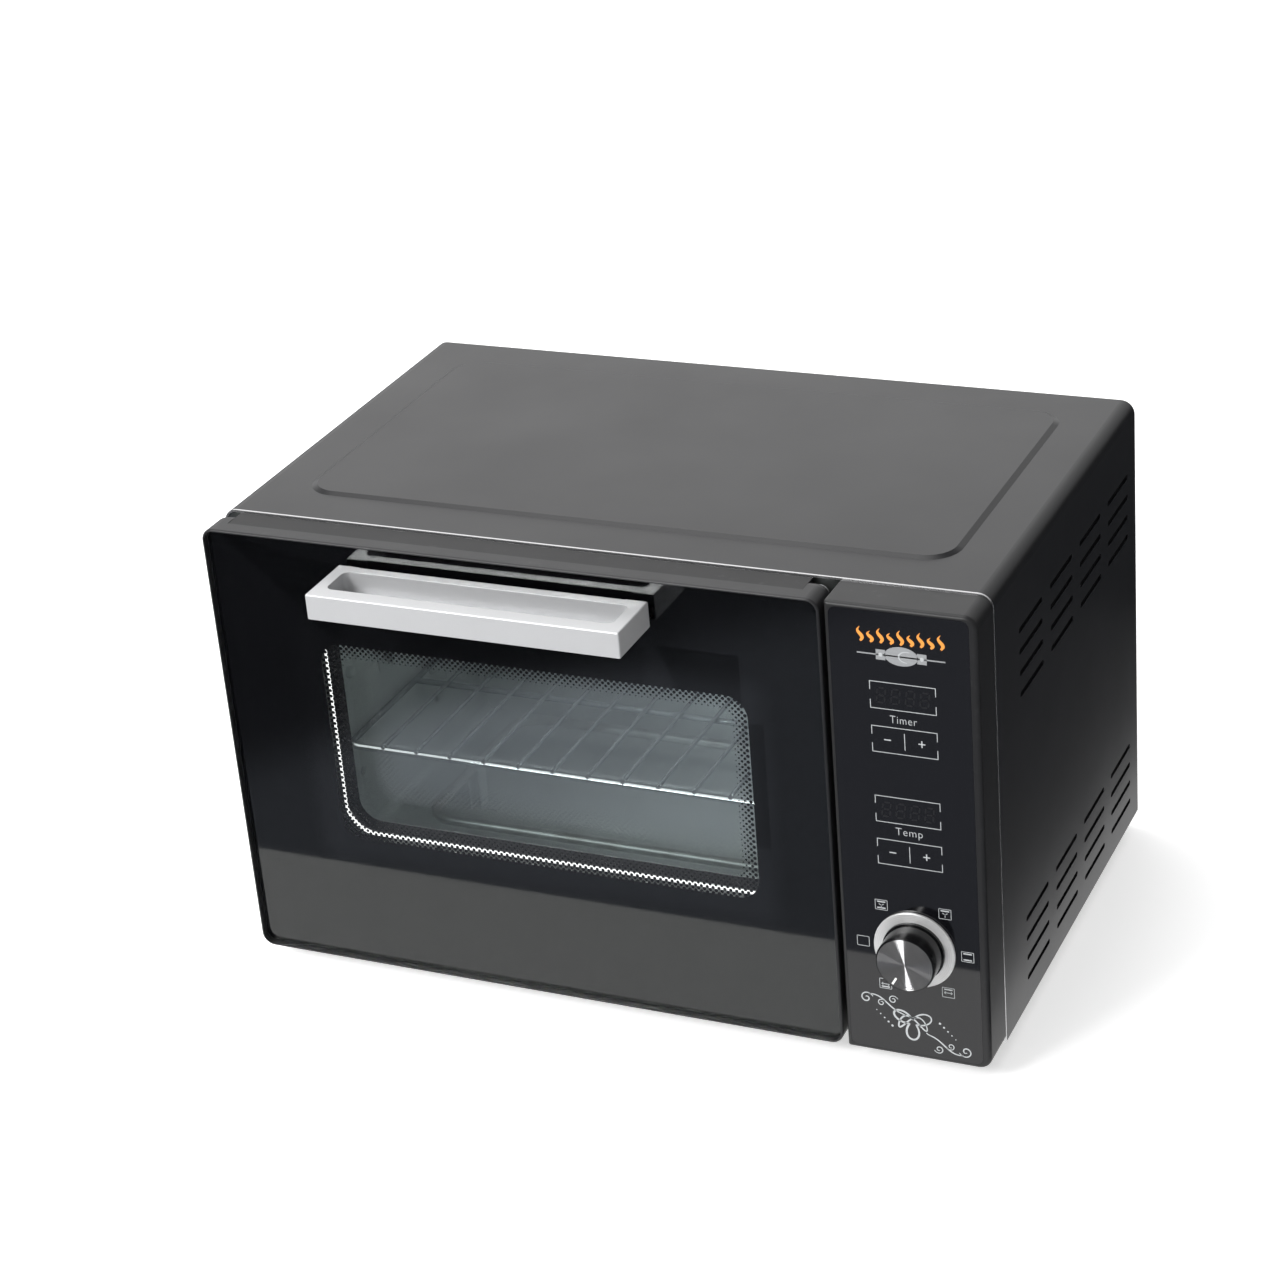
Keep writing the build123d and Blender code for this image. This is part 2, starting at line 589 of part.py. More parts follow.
def spit_support():
    """The open bearing on the left wall that the spit's plain end drops into."""
    x0 = CAV_X0
    plate = block(x0, x0 + BRACKET_T, SPIT_Y - 13, SPIT_Y + 13, SPIT_Z - 18, SPIT_Z + 14)
    arm_x = x0 + 9.0
    shelf_z = SPIT_Z - 14.0
    plate += block(x0, arm_x + BRACKET_T, SPIT_Y - 9, SPIT_Y + 9, shelf_z, shelf_z + BRACKET_T)
    ear = block(arm_x, arm_x + BRACKET_T, SPIT_Y - 9, SPIT_Y + 9, shelf_z, SPIT_Z + 7)
    notch_r = SPIT_SQUARE / 2 + 0.9
    ear -= rod_x(arm_x - 1, arm_x + 3, SPIT_Y, SPIT_Z, notch_r)
    ear -= block(arm_x - 1, arm_x + 3, SPIT_Y - notch_r, SPIT_Y + notch_r, SPIT_Z, SPIT_Z + 9)
    return plate + ear


# --- door ---
def hinge_slots():
    """Room in the bottom rail for the hinge arms, from closed to fully open."""
    cuts = []
    reach = ARM_R + 1.0
    for x0 in ARMS_X:
        a, b = x0 - ARM_GAP, x0 + ARM_T + ARM_GAP
        cuts.append(rod_x(a, b, AXIS_Y, AXIS_Z, reach))
        cuts.append(block(a, b, AXIS_Y, 1.0, AXIS_Z - reach, AXIS_Z + reach))
        cuts.append(block(a, b, AXIS_Y - reach, 1.0, DOOR_Z0 - 1, AXIS_Z))
    return cuts


def pin_span(x0):
    """Ends of the hinge pin that passes through the arm at x0."""
    middle = x0 + ARM_T / 2
    return middle - PIN_L / 2, middle + PIN_L / 2


def door_slab(inset, y0, y1):
    """The door's outline moved in on all sides, from y0 to y1."""
    i = inset
    return upright(i, DOOR_W - i, DOOR_Z0 + i, DOOR_Z1 - i, y0, y1, DOOR_R - i)


def door_bezel():
    """The moulded frame round the glass, with the bottom rail that carries the hinge pins."""
    ring = door_slab(0, DOOR_FRONT, DOOR_BACK)
    front = ring.faces().sort_by(Axis.Y)[0]
    ring = fillet(front.outer_wire().edges(), BEZEL_T * 0.75)
    foot_edge = ring.edges().filter_by(Axis.X).filter_by(lambda e: e.center().Y > DOOR_BACK - 0.1)
    ring = fillet(foot_edge.sort_by(Axis.Z)[0], ROUND_UNDER)
    over = DOOR_FRONT - 1
    hollow = upright(BEZEL_IN, DOOR_W - BEZEL_IN, RAIL_FRONT_TOP, DOOR_Z1 - BEZEL_IN, over, 1, 3.0)
    seat = door_slab(BEZEL_T - GLASS_SEAT, over, GLASS_Y1 + GLASS_SEAT)
    lip = PAN_LIP - PLATE_GAP
    low = PAN_Z0 - PLATE_GAP
    pan_seat = upright(lip, DOOR_W - lip, low, DOOR_Z1 - lip, PAN_Y0 - PLATE_GAP, 1, DOOR_R - lip)
    ring = ring - hollow - seat - pan_seat - top_strip_box(PLATE_GAP, -1.0) - hinge_slots()
    ring -= [rod_y(x, PAN_Y1 - 9, 1, z, SCREW_R + RUN_GAP) for x, z in pan_screw_places()]
    for x0 in ARMS_X:
        a, b = pin_span(x0)
        ring -= rod_x(a - RUN_GAP, b + RUN_GAP, AXIS_Y, AXIS_Z, PIN_R + RUN_GAP)
    return ring


def door_glass():
    """The outer pane, drilled for the handle's two bolts."""
    pane = door_slab(BEZEL_T, DOOR_FRONT, GLASS_Y1)
    pane = chamfer(pane.faces().sort_by(Axis.Y)[0].edges(), 0.4)
    y0, y1 = DOOR_FRONT - 1, GLASS_Y1 + 1
    return pane - [rod_y(x, y0, y1, HANDLE_MID_Z, HANDLE_BOLT_R + 1) for x in handle_bolts()]


def plug_box(grow, y0, y1):
    """The part of the inner panel that enters the cavity's mouth, moved out by grow."""
    g = PLUG_GAP - grow
    return upright(CAV_X0 + g, CAV_X1 - g, CAV_Z0 + g, CAV_Z1 - g, y0, y1, CAV_R + 2)


def pan_screw_places():
    """Screws that hold the inner panel to the door frame, as (x, z)."""
    x_edge = PAN_LIP + HEAD_R + PLATE_GAP
    z_top = DOOR_Z1 - x_edge
    rows = (60.0, DOOR_Z1 / 2, DOOR_Z1 - 50.0)
    sides = [(x, z) for x in (x_edge, DOOR_W - x_edge) for z in rows]
    return sides + [(x, z_top) for x in (DOOR_W * 0.25, DOOR_W * 0.75)]


def door_inner_panel():
    """The pressed steel back of the door, raised where it closes the cavity."""
    pan = upright(PAN_LIP, DOOR_W - PAN_LIP, PAN_Z0, DOOR_Z1 - PAN_LIP, PAN_Y0, PAN_Y1, DOOR_R - PAN_LIP)
    pan += plug_box(0, PAN_Y0, PLUG_REACH)
    pan -= plug_box(-PANEL_T, PAN_Y0 - 1, PLUG_FACE)
    window = upright(INNER_X0, INNER_X1, INNER_Z0, INNER_Z1, PLUG_FACE - 1, PLUG_REACH + 1, WINDOW_R)
    holes = [rod_y(x, PAN_Y0 - 1, PAN_Y1 + 1, z, SCREW_HOLE_R) for x, z in pan_screw_places()]
    g, top = ARM_GAP, AXIS_Z + ARM_R + 2
    slots = [block(x0 - g, x0 + ARM_T + g, PAN_Y0 - 1, PAN_Y1 + 1, PAN_Z0 - 1, top) for x0 in ARMS_X]
    return pan - window - holes - slots


def door_inner_glass():
    """The inner pane, behind the raised panel's window."""
    g = INNER_GLASS_LAP
    y0, y1 = INNER_GLASS_Y0, INNER_GLASS_Y1
    return upright(INNER_X0 - g, INNER_X1 + g, INNER_Z0 - g, INNER_Z1 + g, y0, y1, WINDOW_R)


def glass_clips():
    """Four spring clips that press the inner pane onto the panel."""
    clips = []
    pane, wall, t = INNER_GLASS_Y0, PLUG_FACE, CLIP_SHEET
    for x in (INNER_X0 + CLIP_INSET, INNER_X1 - CLIP_INSET):
        x0, x1 = x - CLIP_L / 2, x + CLIP_L / 2
        for z, side in ((INNER_Z0 - INNER_GLASS_LAP, -1), (INNER_Z1 + INNER_GLASS_LAP, 1)):
            outer = z + side * CLIP_OUT
            tongue = block(x0, x1, pane - t, pane, *sorted((z - side * CLIP_OVER, outer)))
            stem = block(x0, x1, pane - t, wall, *sorted((outer - side * t, outer)))
            toe = block(x0, x1, wall - t, wall, *sorted((outer - side * t, outer + side * CLIP_TOE)))
            clips.append(tongue + stem + toe)
    return clips


def top_strip_box(grow, sink):
    """The strip's outline, grown on all sides, with its face below the door's top by sink."""
    x0, x1 = STRIP_END - grow, DOOR_W - STRIP_END + grow
    y0, y1 = DOOR_BACK - STRIP_D - grow, DOOR_BACK - PLATE_GAP + grow
    return block(x0, x1, y0, y1, DOOR_Z1 - STRIP_T - STRIP_SINK, DOOR_Z1 - sink)


def door_top_strip():
    """The flat strip let into the door's top edge."""
    return top_strip_box(0, STRIP_SINK)


def handle_bolts():
    """Where the two handle bolts are, along x."""
    return [HANDLE_X0 + HANDLE_END / 2 + 1, HANDLE_X0 + HANDLE_L - HANDLE_END / 2 - 1]


def handle():
    """A square bar with a finger pocket let into its top."""
    y0, y1 = DOOR_FRONT - HANDLE_REACH, DOOR_FRONT
    x0, x1 = HANDLE_X0, HANDLE_X0 + HANDLE_L
    z0, z1 = HANDLE_Z0, HANDLE_Z0 + HANDLE_H
    bar = fillet(block(x0, x1, y0, y1, z0, z1).edges(), 1.0)
    pocket = Plane(((x0 + x1) / 2, (y0 + HANDLE_RIM + y1 - HANDLE_WEB) / 2, z0 + HANDLE_FLOOR))
    depth = HANDLE_REACH - HANDLE_RIM - HANDLE_WEB
    bar -= extrude(pocket * RectangleRounded(x1 - x0 - 2 * HANDLE_END, depth, POCKET_R), HANDLE_H)
    relief = HANDLE_RELIEF_END
    bar -= block(x0 + relief, x1 - relief, y1 - HANDLE_RELIEF, y1 + 1, z0 - 1, z1 + 1)
    return bar - [rod_y(x, y1 - 14, y1 + 1, HANDLE_MID_Z, HANDLE_BOLT_R + 0.1) for x in handle_bolts()]


def handle_bolt(x):
    """A bolt from inside the door, through the glass into the handle."""
    seat = GLASS_Y1 + 1.0
    bolt = rod_y(x, DOOR_FRONT - 12, seat, HANDLE_MID_Z, HANDLE_BOLT_R)
    washer = rod_y(x, GLASS_Y1, seat, HANDLE_MID_Z, HANDLE_BOLT_R + 4)
    return bolt + washer + rod_y(x, seat, seat + 2.4, HANDLE_MID_Z, HANDLE_BOLT_R + 2)


# --- hinge ---
def arm_screw_places():
    """Screws of the two hinge arms' feet, as (x, z)."""
    left = ARMS_X[0] - ARM_FOOT_W / 2
    right = ARMS_X[1] + ARM_T + ARM_FOOT_W / 2
    return [(left, ARM_FOOT_H - 6), (right, ARM_FOOT_H - 6)]


def hinge_arm(index):
    """A steel ear that reaches forward through the bulkhead and carries the hinge pin."""
    x0 = ARMS_X[index]
    x1 = x0 + ARM_T
    z0, z1 = AXIS_Z - ARM_R, AXIS_Z + ARM_R
    depth = FRAME_Y1 + ARM_TOE_T
    ear = rod_x(x0, x1, AXIS_Y, AXIS_Z, ARM_R) + block(x0, x1, AXIS_Y, depth, z0, z1)
    ends = (x0 - ARM_FOOT_W, x1) if index == 0 else (x0, x1 + ARM_FOOT_W)
    ear += block(*ends, FRAME_Y1, depth, z0, ARM_FOOT_H)
    x, z = arm_screw_places()[index]
    ear -= rod_y(x, FRAME_Y1 - 1, depth + 1, z, SCREW_HOLE_R)
    return ear - rod_x(x0 - 1, x1 + 1, AXIS_Y, AXIS_Z, PIN_R + RUN_GAP)


# --- control panel ---
def panel_boss_places():
    """Screw bosses inside the control panel, as (x, z)."""
    xs = (PANEL_X0 + BOSS_INSET, CASE_W - BOSS_INSET)
    return [(x, z) for x in xs for z in (BOSS_INSET + 4, CASE_H - BOSS_INSET - 4)]


def control_panel():
    """The moulded housing in front of the electrics."""
    z0, z1 = DOOR_Z0, DOOR_Z1
    body = upright(PANEL_X0, CASE_W, z0, z1, DOOR_FRONT, PANEL_BACK, PANEL_CORNER)
    body += upright(PANEL_X0, PANEL_X0 + 3 * PANEL_CORNER, z0, z1, DOOR_FRONT, PANEL_BACK, PANEL_GAP / 2)
    body = fillet(body.faces().sort_by(Axis.Y)[0].outer_wire().edges(), PANEL_EDGE)
    w = PANEL_WALL
    body -= upright(PANEL_X0 + w, CASE_W - w, z0 + w, z1 - w, PANEL_IN_Y, 1, PANEL_CORNER - w)
    for x, z in panel_boss_places():
        body += rod_y(x, PANEL_IN_Y - 0.5, PANEL_BACK, z, BOSS_R)
        body -= rod_y(x, PANEL_BACK - 12, PANEL_BACK + 1, z, SCREW_R + RUN_GAP)
    body -= overlay_sheet(PLATE_GAP / 2, DOOR_FRONT - 1)
    half_w, half_h = DISPLAY_W / 2 + PLATE_GAP, DISPLAY_H / 2 + PLATE_GAP
    x0, x1 = DISPLAY_X - half_w, DISPLAY_X + half_w
    for z in (TIMER_Z, TEMP_Z):
        body -= upright(x0, x1, z - half_h, z + half_h, DOOR_FRONT, PANEL_IN_Y + 1)
    return body - shaft_hole()


def shaft_hole():
    """The clear hole for the knob's shaft through the panel's front."""
    return rod_y(KNOB_X, DOOR_FRONT - 1, PANEL_IN_Y + 1, KNOB_Z, KNOB_SHAFT_R + 1)


def overlay_sheet(grow, y0):
    """The overlay's outline from y0 to its back face, grown on all sides."""
    x0, x1 = PANEL_X0 + OVERLAY_INSET - grow, CASE_W - OVERLAY_RIGHT + grow
    z0, z1 = DOOR_Z0 + OVERLAY_INSET - grow, DOOR_Z1 - OVERLAY_INSET + grow
    return upright(x0, x1, z0, z1, y0, DOOR_FRONT + OVERLAY_T, OVERLAY_R + grow)


def control_overlay():
    """The gloss sheet that covers the panel's front."""
    return overlay_sheet(0, DOOR_FRONT) - shaft_hole()


def display(z):
    """A four-digit display module behind the overlay."""
    y0 = DOOR_FRONT + OVERLAY_T
    half_w, half_h = DISPLAY_W / 2, DISPLAY_H / 2
    body = upright(DISPLAY_X - half_w, DISPLAY_X + half_w, z - half_h, z + half_h, y0, y0 + DISPLAY_T)
    pins = [rod_y(DISPLAY_X + s * (half_w - 6), y0 + DISPLAY_T, BOARD_Y, z, 1.0) for s in (-1, 1)]
    return body + pins


def key_springs():
    """Four touch-key contact springs, from the board to the panel's wall."""
    places = [(DISPLAY_X + s * KEY_PITCH / 2, z) for s in (-1, 1) for z in (KEY_Z_TIMER, KEY_Z_TEMP)]
    return [rod_y(x, PANEL_IN_Y, BOARD_Y, z, KEY_SPRING_R) for x, z in places]


def control_board():
    """The circuit board behind the panel, with its processor and buzzer."""
    x0 = DISPLAY_X - BOARD_W / 2
    z0, z1 = KEY_Z_TEMP - 16, TIMER_Z + 16
    board = block(x0, x0 + BOARD_W, BOARD_Y, BOARD_Y + BOARD_T, z0, z1)
    board += block(x0 + 12, x0 + 26, BOARD_Y + BOARD_T, BOARD_Y + BOARD_T + 2, z0 + 40, z0 + 54)
    return board + rod_y(x0 + BOARD_W - 16, BOARD_Y + BOARD_T, BOARD_Y + BOARD_T + 6, z0 + 24, 6.0)


def board_posts():
    """Posts that join the control board to the panel's front wall."""
    xs = [DISPLAY_X + s * (BOARD_W / 2 - 5) for s in (-1, 1)]
    zs = (KEY_Z_TEMP - 11, TIMER_Z + 11)
    return [rod_y(x, PANEL_IN_Y, BOARD_Y, z, 2.5) for x in xs for z in zs]


def rotary_switch():
    """The function selector, fixed to the panel's front wall by its threaded neck."""
    h, n, back = SWITCH_W / 2, 8.0, PANEL_IN_Y + SWITCH_T
    body = upright(KNOB_X - h, KNOB_X + h, KNOB_Z - h, KNOB_Z + h, PANEL_IN_Y, back, 2.0)
    body += upright(KNOB_X - n, KNOB_X + n, KNOB_Z - n, KNOB_Z + n, back, back + 4)
    return body - rod_y(KNOB_X, PANEL_IN_Y - 1, KNOB_SHAFT_END + 0.5, KNOB_Z, KNOB_SHAFT_R + RUN_GAP)


# --- knob ---
def knob_body():
    """The turned grip with its skirt, hollow under the skirt, bored for the shaft."""
    grip = rod_y(KNOB_X, KNOB_FACE, KNOB_BACK - SKIRT_H, KNOB_Z, KNOB_R)
    grip = fillet(grip.edges().sort_by(Axis.Y)[0], 0.7)
    grip += rod_y(KNOB_X, KNOB_BACK - SKIRT_H, KNOB_BACK, KNOB_Z, KNOB_SKIRT_R)
    grip -= rod_y(KNOB_X, KNOB_FACE - 1, KNOB_FACE + CAP_T, KNOB_Z, KNOB_R - CAP_MARGIN + 0.05)
    grip -= rod_y(KNOB_X, KNOB_BACK - 9, KNOB_BACK + 1, KNOB_Z, KNOB_R - 3)
    grip += rod_y(KNOB_X, KNOB_BACK - 9.5, KNOB_BACK - 1.5, KNOB_Z, KNOB_SHAFT_R + 2.5)
    return grip - rod_y(KNOB_X, KNOB_SHAFT_START, KNOB_BACK + 1, KNOB_Z, KNOB_SHAFT_R)


def knob_ring():
    """The bright collar round the skirt."""
    ring = rod_y(KNOB_X, KNOB_BACK - RING_T, KNOB_BACK, KNOB_Z, RING_R)
    ring = chamfer(ring.edges().sort_by(Axis.Y)[0], 0.4)
    return ring - rod_y(KNOB_X, KNOB_BACK - RING_T - 1, KNOB_BACK + 1, KNOB_Z, KNOB_SKIRT_R + RUN_GAP)


def pointer_bar(grow):
    """The inlaid pointer bar, grown on all sides for its seat."""
    angle = radians(POINTER_ANGLE)
    x = KNOB_X + POINTER_R * cos(angle)
    z = KNOB_Z + POINTER_R * sin(angle)
    bar = Box(POINTER_L + 2 * grow, 2 * POINTER_T, POINTER_W + 2 * grow)
    return Pos(x, KNOB_FACE, z) * Rot(0, -POINTER_ANGLE, 0) * bar


def knob_cap():
    """The spun metal disc let into the grip's face."""
    disc = rod_y(KNOB_X, KNOB_FACE, KNOB_FACE + CAP_T, KNOB_Z, KNOB_R - CAP_MARGIN)
    return disc - pointer_bar(0.05)


def knob_pointer():
    """The white pointer inlay, flush with the disc."""
    return pointer_bar(0) & block(0, CASE_W, KNOB_FACE, KNOB_FACE + CAP_T, 0, CASE_H)


# --- electrics ---
def cord_gland():
    """The flanged bush for the mains lead in the back cover."""
    y0 = CASE_D + BACK_T
    bush = rod_y(GLAND_X, y0 - GLAND_L, y0, GLAND_Z, GLAND_R - PLATE_GAP / 2)
    bush += rod_y(GLAND_X, y0, y0 + HEAD_H, GLAND_Z, GLAND_FLANGE_R)
    bush += rod_y(GLAND_X, y0 - GLAND_L, CASE_D - 0.1, GLAND_Z, GLAND_R + 1.2)
    return bush - rod_y(GLAND_X, y0 - GLAND_L - 1, y0 + HEAD_H + 1, GLAND_Z, GLAND_BORE_R)


def power_places():
    """Corners of the power board's four posts, as (x, y)."""
    x0 = WALL_X + 12
    return [(x, y) for x in (x0 + 5, x0 + POWER_W - 5) for y in (POWER_Y + 5, POWER_Y + POWER_D - 5)]


def power_board():
    """The relay board above the base plate, with relays, transformer and terminals."""
    x0 = WALL_X + 12
    z0 = 2 * SHEET + STANDOFF_H
    top = z0 + BOARD_T
    board = block(x0, x0 + POWER_W, POWER_Y, POWER_Y + POWER_D, z0, top)
    for i in range(3):
        board += block(x0 + 8, x0 + 36, POWER_Y + 14 + i * 20, POWER_Y + 30 + i * 20, top, top + 15)
    board += block(x0 + 46, x0 + 76, POWER_Y + 14, POWER_Y + 50, top, top + 26)
    return board + block(x0 + 12, x0 + 72, POWER_Y + POWER_D - 20, POWER_Y + POWER_D - 8, top, top + 14)


def power_posts():
    """Moulded posts under the power board."""
    return [rod_z(x, y, 2 * SHEET, 2 * SHEET + STANDOFF_H, STANDOFF_R) for x, y in power_places()]


def temperature_sensor():
    """The thin probe through the cavity's right wall, with its fixing collar."""
    probe = rod_x(CAV_X1 - SENSOR_L, WALL_X + 14, SENSOR_Y, SENSOR_Z, SENSOR_R)
    return probe + rod_x(WALL_X, WALL_X + 2, SENSOR_Y, SENSOR_Z, 8.0)


def thermal_cutout():
    """The safety thermostat clamped to the cavity's right wall."""
    y, z = SENSOR_Y, CAV_Z0 + 70
    body = rod_x(WALL_X + 1, WALL_X + 10, y, z, 8.0)
    body += block(WALL_X, WALL_X + 1, y - 9, y + 9, z - 14, z + 14)
    x0, x1 = WALL_X + 10, WALL_X + 17
    return body + [block(x0, x1, y - 1, y + 1, z + s * 4 - 2, z + s * 4 + 2) for s in (-1, 1)]


def main():
    """Builds every piece and writes one file per named piece."""
    os.makedirs("parts", exist_ok=True)
    save("outer_case", outer_case())
    save("back_cover", back_cover())
    save("base_plate", base_plate())
    save("front_frame", front_frame())
    for number, (x, y) in enumerate(feet_places(), 1):
        save(f"foot_{number}", foot(x, y))
    foot_seat = -FOOT_H / 2
    save("foot_screws", *[screw((x, y, foot_seat), (0, 0, 1), FOOT_H / 2 + 4) for x, y in feet_places()])
    save("base_screws", *[screw((x, y, 0), (0, 0, 1), 5.0) for x, y in base_screw_places()])
    back_seat = CASE_D + BACK_T
    save("back_screws", *[screw((x, back_seat, z), (0, -1, 0), 6.0) for x, z in back_screw_places()])

    save("cavity", cavity())
    save("cavity_rivets", *cavity_rivets())
    save("wire_rack", rack())
    save("lower_heater", heater(LOWER_Z))
    save("upper_heater", heater(UPPER_Z))
    save("heater_insulators", *[insulator(y, z) for y, z in heater_legs()])
    save("heater_clips", heater_clip(LOWER_Z, CAV_Z0), heater_clip(UPPER_Z, CAV_Z1))
    save("spit_coupling", spit_coupling())
    save("motor_shaft", motor_shaft())
    save("motor_bracket", motor_bracket())
    save("spit_motor", spit_motor())
    save("spit_support", spit_support())
    bracket_seat = WALL_X + BRACKET_T
    grip = BRACKET_T + SHEET
    save("motor_screws", *[screw((bracket_seat, y, z), (-1, 0, 0), grip) for y, z in motor_screw_places()])

    save("door_bezel", door_bezel())
    save("door_glass", door_glass())
    save("door_inner_panel", door_inner_panel())
    save("door_inner_glass", door_inner_glass())
    save("glass_clips", *glass_clips())
    save("door_top_strip", door_top_strip())
    save("handle", handle())
    save("handle_bolts", *[handle_bolt(x) for x in handle_bolts()])
    save("door_screws", *[screw((x, PAN_Y1, z), (0, -1, 0), 8.0) for x, z in pan_screw_places()])
    save("hinge_pins", *[rod_x(*pin_span(x), AXIS_Y, AXIS_Z, PIN_R) for x in ARMS_X])
    save("hinge_arm_left", hinge_arm(0))
    save("hinge_arm_right", hinge_arm(1))
    arm_seat = FRAME_Y1 + ARM_TOE_T
    save("hinge_screws", *[screw((x, arm_seat, z), (0, -1, 0), 3.0) for x, z in arm_screw_places()])

    save("control_panel", control_panel())
    save("control_overlay", control_overlay())
    save("timer_display", display(TIMER_Z))
    save("temperature_display", display(TEMP_Z))
    save("key_springs", *key_springs())
    save("control_board", control_board())
    save("board_posts", *board_posts())
    save("rotary_switch", rotary_switch())
    panel_seat = FRAME_Y1
    save("panel_screws", *[screw((x, panel_seat, z), (0, -1, 0), 10.0) for x, z in panel_boss_places()])
    save("knob_body", knob_body())
    save("knob_ring", knob_ring())
    save("knob_cap", knob_cap())
    save("knob_pointer", knob_pointer())
    save("knob_shaft", rod_y(KNOB_X, KNOB_SHAFT_START, KNOB_SHAFT_END, KNOB_Z, KNOB_SHAFT_R))

    save("cord_gland", cord_gland())
    save("power_board", power_board())
    save("power_posts", *power_posts())
    save("temperature_sensor", temperature_sensor())
    save("thermal_cutout", thermal_cutout())


if __name__ == "__main__":
    main()
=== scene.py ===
"""A bench-top rotisserie oven: finishes for its frame, and the printed and welded detail on it."""

import json
import logging
import math
from dataclasses import dataclass
from enum import Enum
from typing import Any, Mapping, Sequence, Union

import bmesh
import bpy
from mathutils import Matrix, Vector

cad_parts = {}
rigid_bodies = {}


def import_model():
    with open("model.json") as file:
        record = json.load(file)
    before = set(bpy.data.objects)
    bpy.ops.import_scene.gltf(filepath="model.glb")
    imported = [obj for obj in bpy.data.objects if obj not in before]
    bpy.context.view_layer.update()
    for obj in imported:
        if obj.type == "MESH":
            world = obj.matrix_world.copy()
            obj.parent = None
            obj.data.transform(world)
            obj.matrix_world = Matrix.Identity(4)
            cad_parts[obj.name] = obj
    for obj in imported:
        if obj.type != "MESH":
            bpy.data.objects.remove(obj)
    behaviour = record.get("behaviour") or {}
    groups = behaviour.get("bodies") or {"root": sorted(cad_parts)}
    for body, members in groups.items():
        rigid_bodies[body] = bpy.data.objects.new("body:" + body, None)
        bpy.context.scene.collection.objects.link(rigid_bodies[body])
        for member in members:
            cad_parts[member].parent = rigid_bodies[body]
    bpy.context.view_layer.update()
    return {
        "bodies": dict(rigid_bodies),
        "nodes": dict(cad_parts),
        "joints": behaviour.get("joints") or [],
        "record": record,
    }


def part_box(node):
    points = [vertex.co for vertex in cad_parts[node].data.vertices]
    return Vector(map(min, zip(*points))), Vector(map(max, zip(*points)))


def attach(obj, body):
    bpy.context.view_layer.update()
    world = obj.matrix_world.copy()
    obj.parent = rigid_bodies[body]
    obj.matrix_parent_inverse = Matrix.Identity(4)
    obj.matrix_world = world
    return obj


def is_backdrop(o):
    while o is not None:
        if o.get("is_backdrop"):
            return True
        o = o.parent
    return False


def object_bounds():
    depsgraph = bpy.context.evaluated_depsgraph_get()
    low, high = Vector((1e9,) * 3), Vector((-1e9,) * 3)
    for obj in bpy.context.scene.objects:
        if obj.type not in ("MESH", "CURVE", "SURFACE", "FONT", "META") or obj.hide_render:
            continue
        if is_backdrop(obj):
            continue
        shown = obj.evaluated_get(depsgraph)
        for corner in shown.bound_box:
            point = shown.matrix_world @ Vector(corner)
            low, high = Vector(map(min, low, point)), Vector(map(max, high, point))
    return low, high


log = logging.getLogger("oven")

MM = 0.001
Colour = tuple[float, float, float]
Point = tuple[float, float]


def scaled(tone: Colour, by: float) -> Colour:
    """A colour made darker or lighter by a factor."""
    return tuple(c * by for c in tone)


def linked(name: str, data: Any) -> bpy.types.Object:
    """A new object of the data, in the scene."""
    made = bpy.data.objects.new(name, data)
    bpy.context.scene.collection.objects.link(made)
    return made


def evaluated(holder: bpy.types.Object) -> bpy.types.Mesh:
    """The mesh that an object ends as; the object itself is removed."""
    bpy.context.view_layer.update()
    graph = bpy.context.evaluated_depsgraph_get()
    mesh = bpy.data.meshes.new_from_object(holder.evaluated_get(graph))
    bpy.data.objects.remove(holder)
    return mesh


# ---------------------------------------------------------------- node trees


class Sig:
    """A socket whose arithmetic adds Math nodes to its tree."""

    def __init__(self, book: "TreeBook", socket: bpy.types.NodeSocket) -> None:
        """Wraps one output socket."""
        self.book = book
        self.socket = socket

    def math(self, operation: str, *others: "Number", clamp: bool = False) -> "Sig":
        """Feeds this value, then the others, to a Math node."""
        return self.book.math(operation, self, *others, clamp=clamp)

    def __abs__(self) -> "Sig":
        """The value without its sign."""
        return self.math("ABSOLUTE")

    def above(self, edge: "Number") -> "Sig":
        """1 where the value is greater than edge, else 0."""
        return self.math("GREATER_THAN", edge)

    def below(self, edge: "Number") -> "Sig":
        """1 where the value is less than edge, else 0."""
        return self.math("LESS_THAN", edge)

    def clamped(self) -> "Sig":
        """The value held between 0 and 1."""
        return self.math("ADD", 0.0, clamp=True)


Number = Union[Sig, float]


def operator(operation: str, swapped: bool) -> Any:
    """A method of Sig that feeds the two values, in turn or swapped, to a Math node."""
    if swapped:
        return lambda one, two: one.book.math(operation, two, one)
    return lambda one, two: one.math(operation, two)


OPERATORS = {"add": "ADD", "sub": "SUBTRACT", "mul": "MULTIPLY", "truediv": "DIVIDE", "pow": "POWER"}
for symbol, operation in OPERATORS.items():
    setattr(Sig, f"__{symbol}__", operator(operation, False))
    setattr(Sig, f"__r{symbol}__", operator(operation, True))


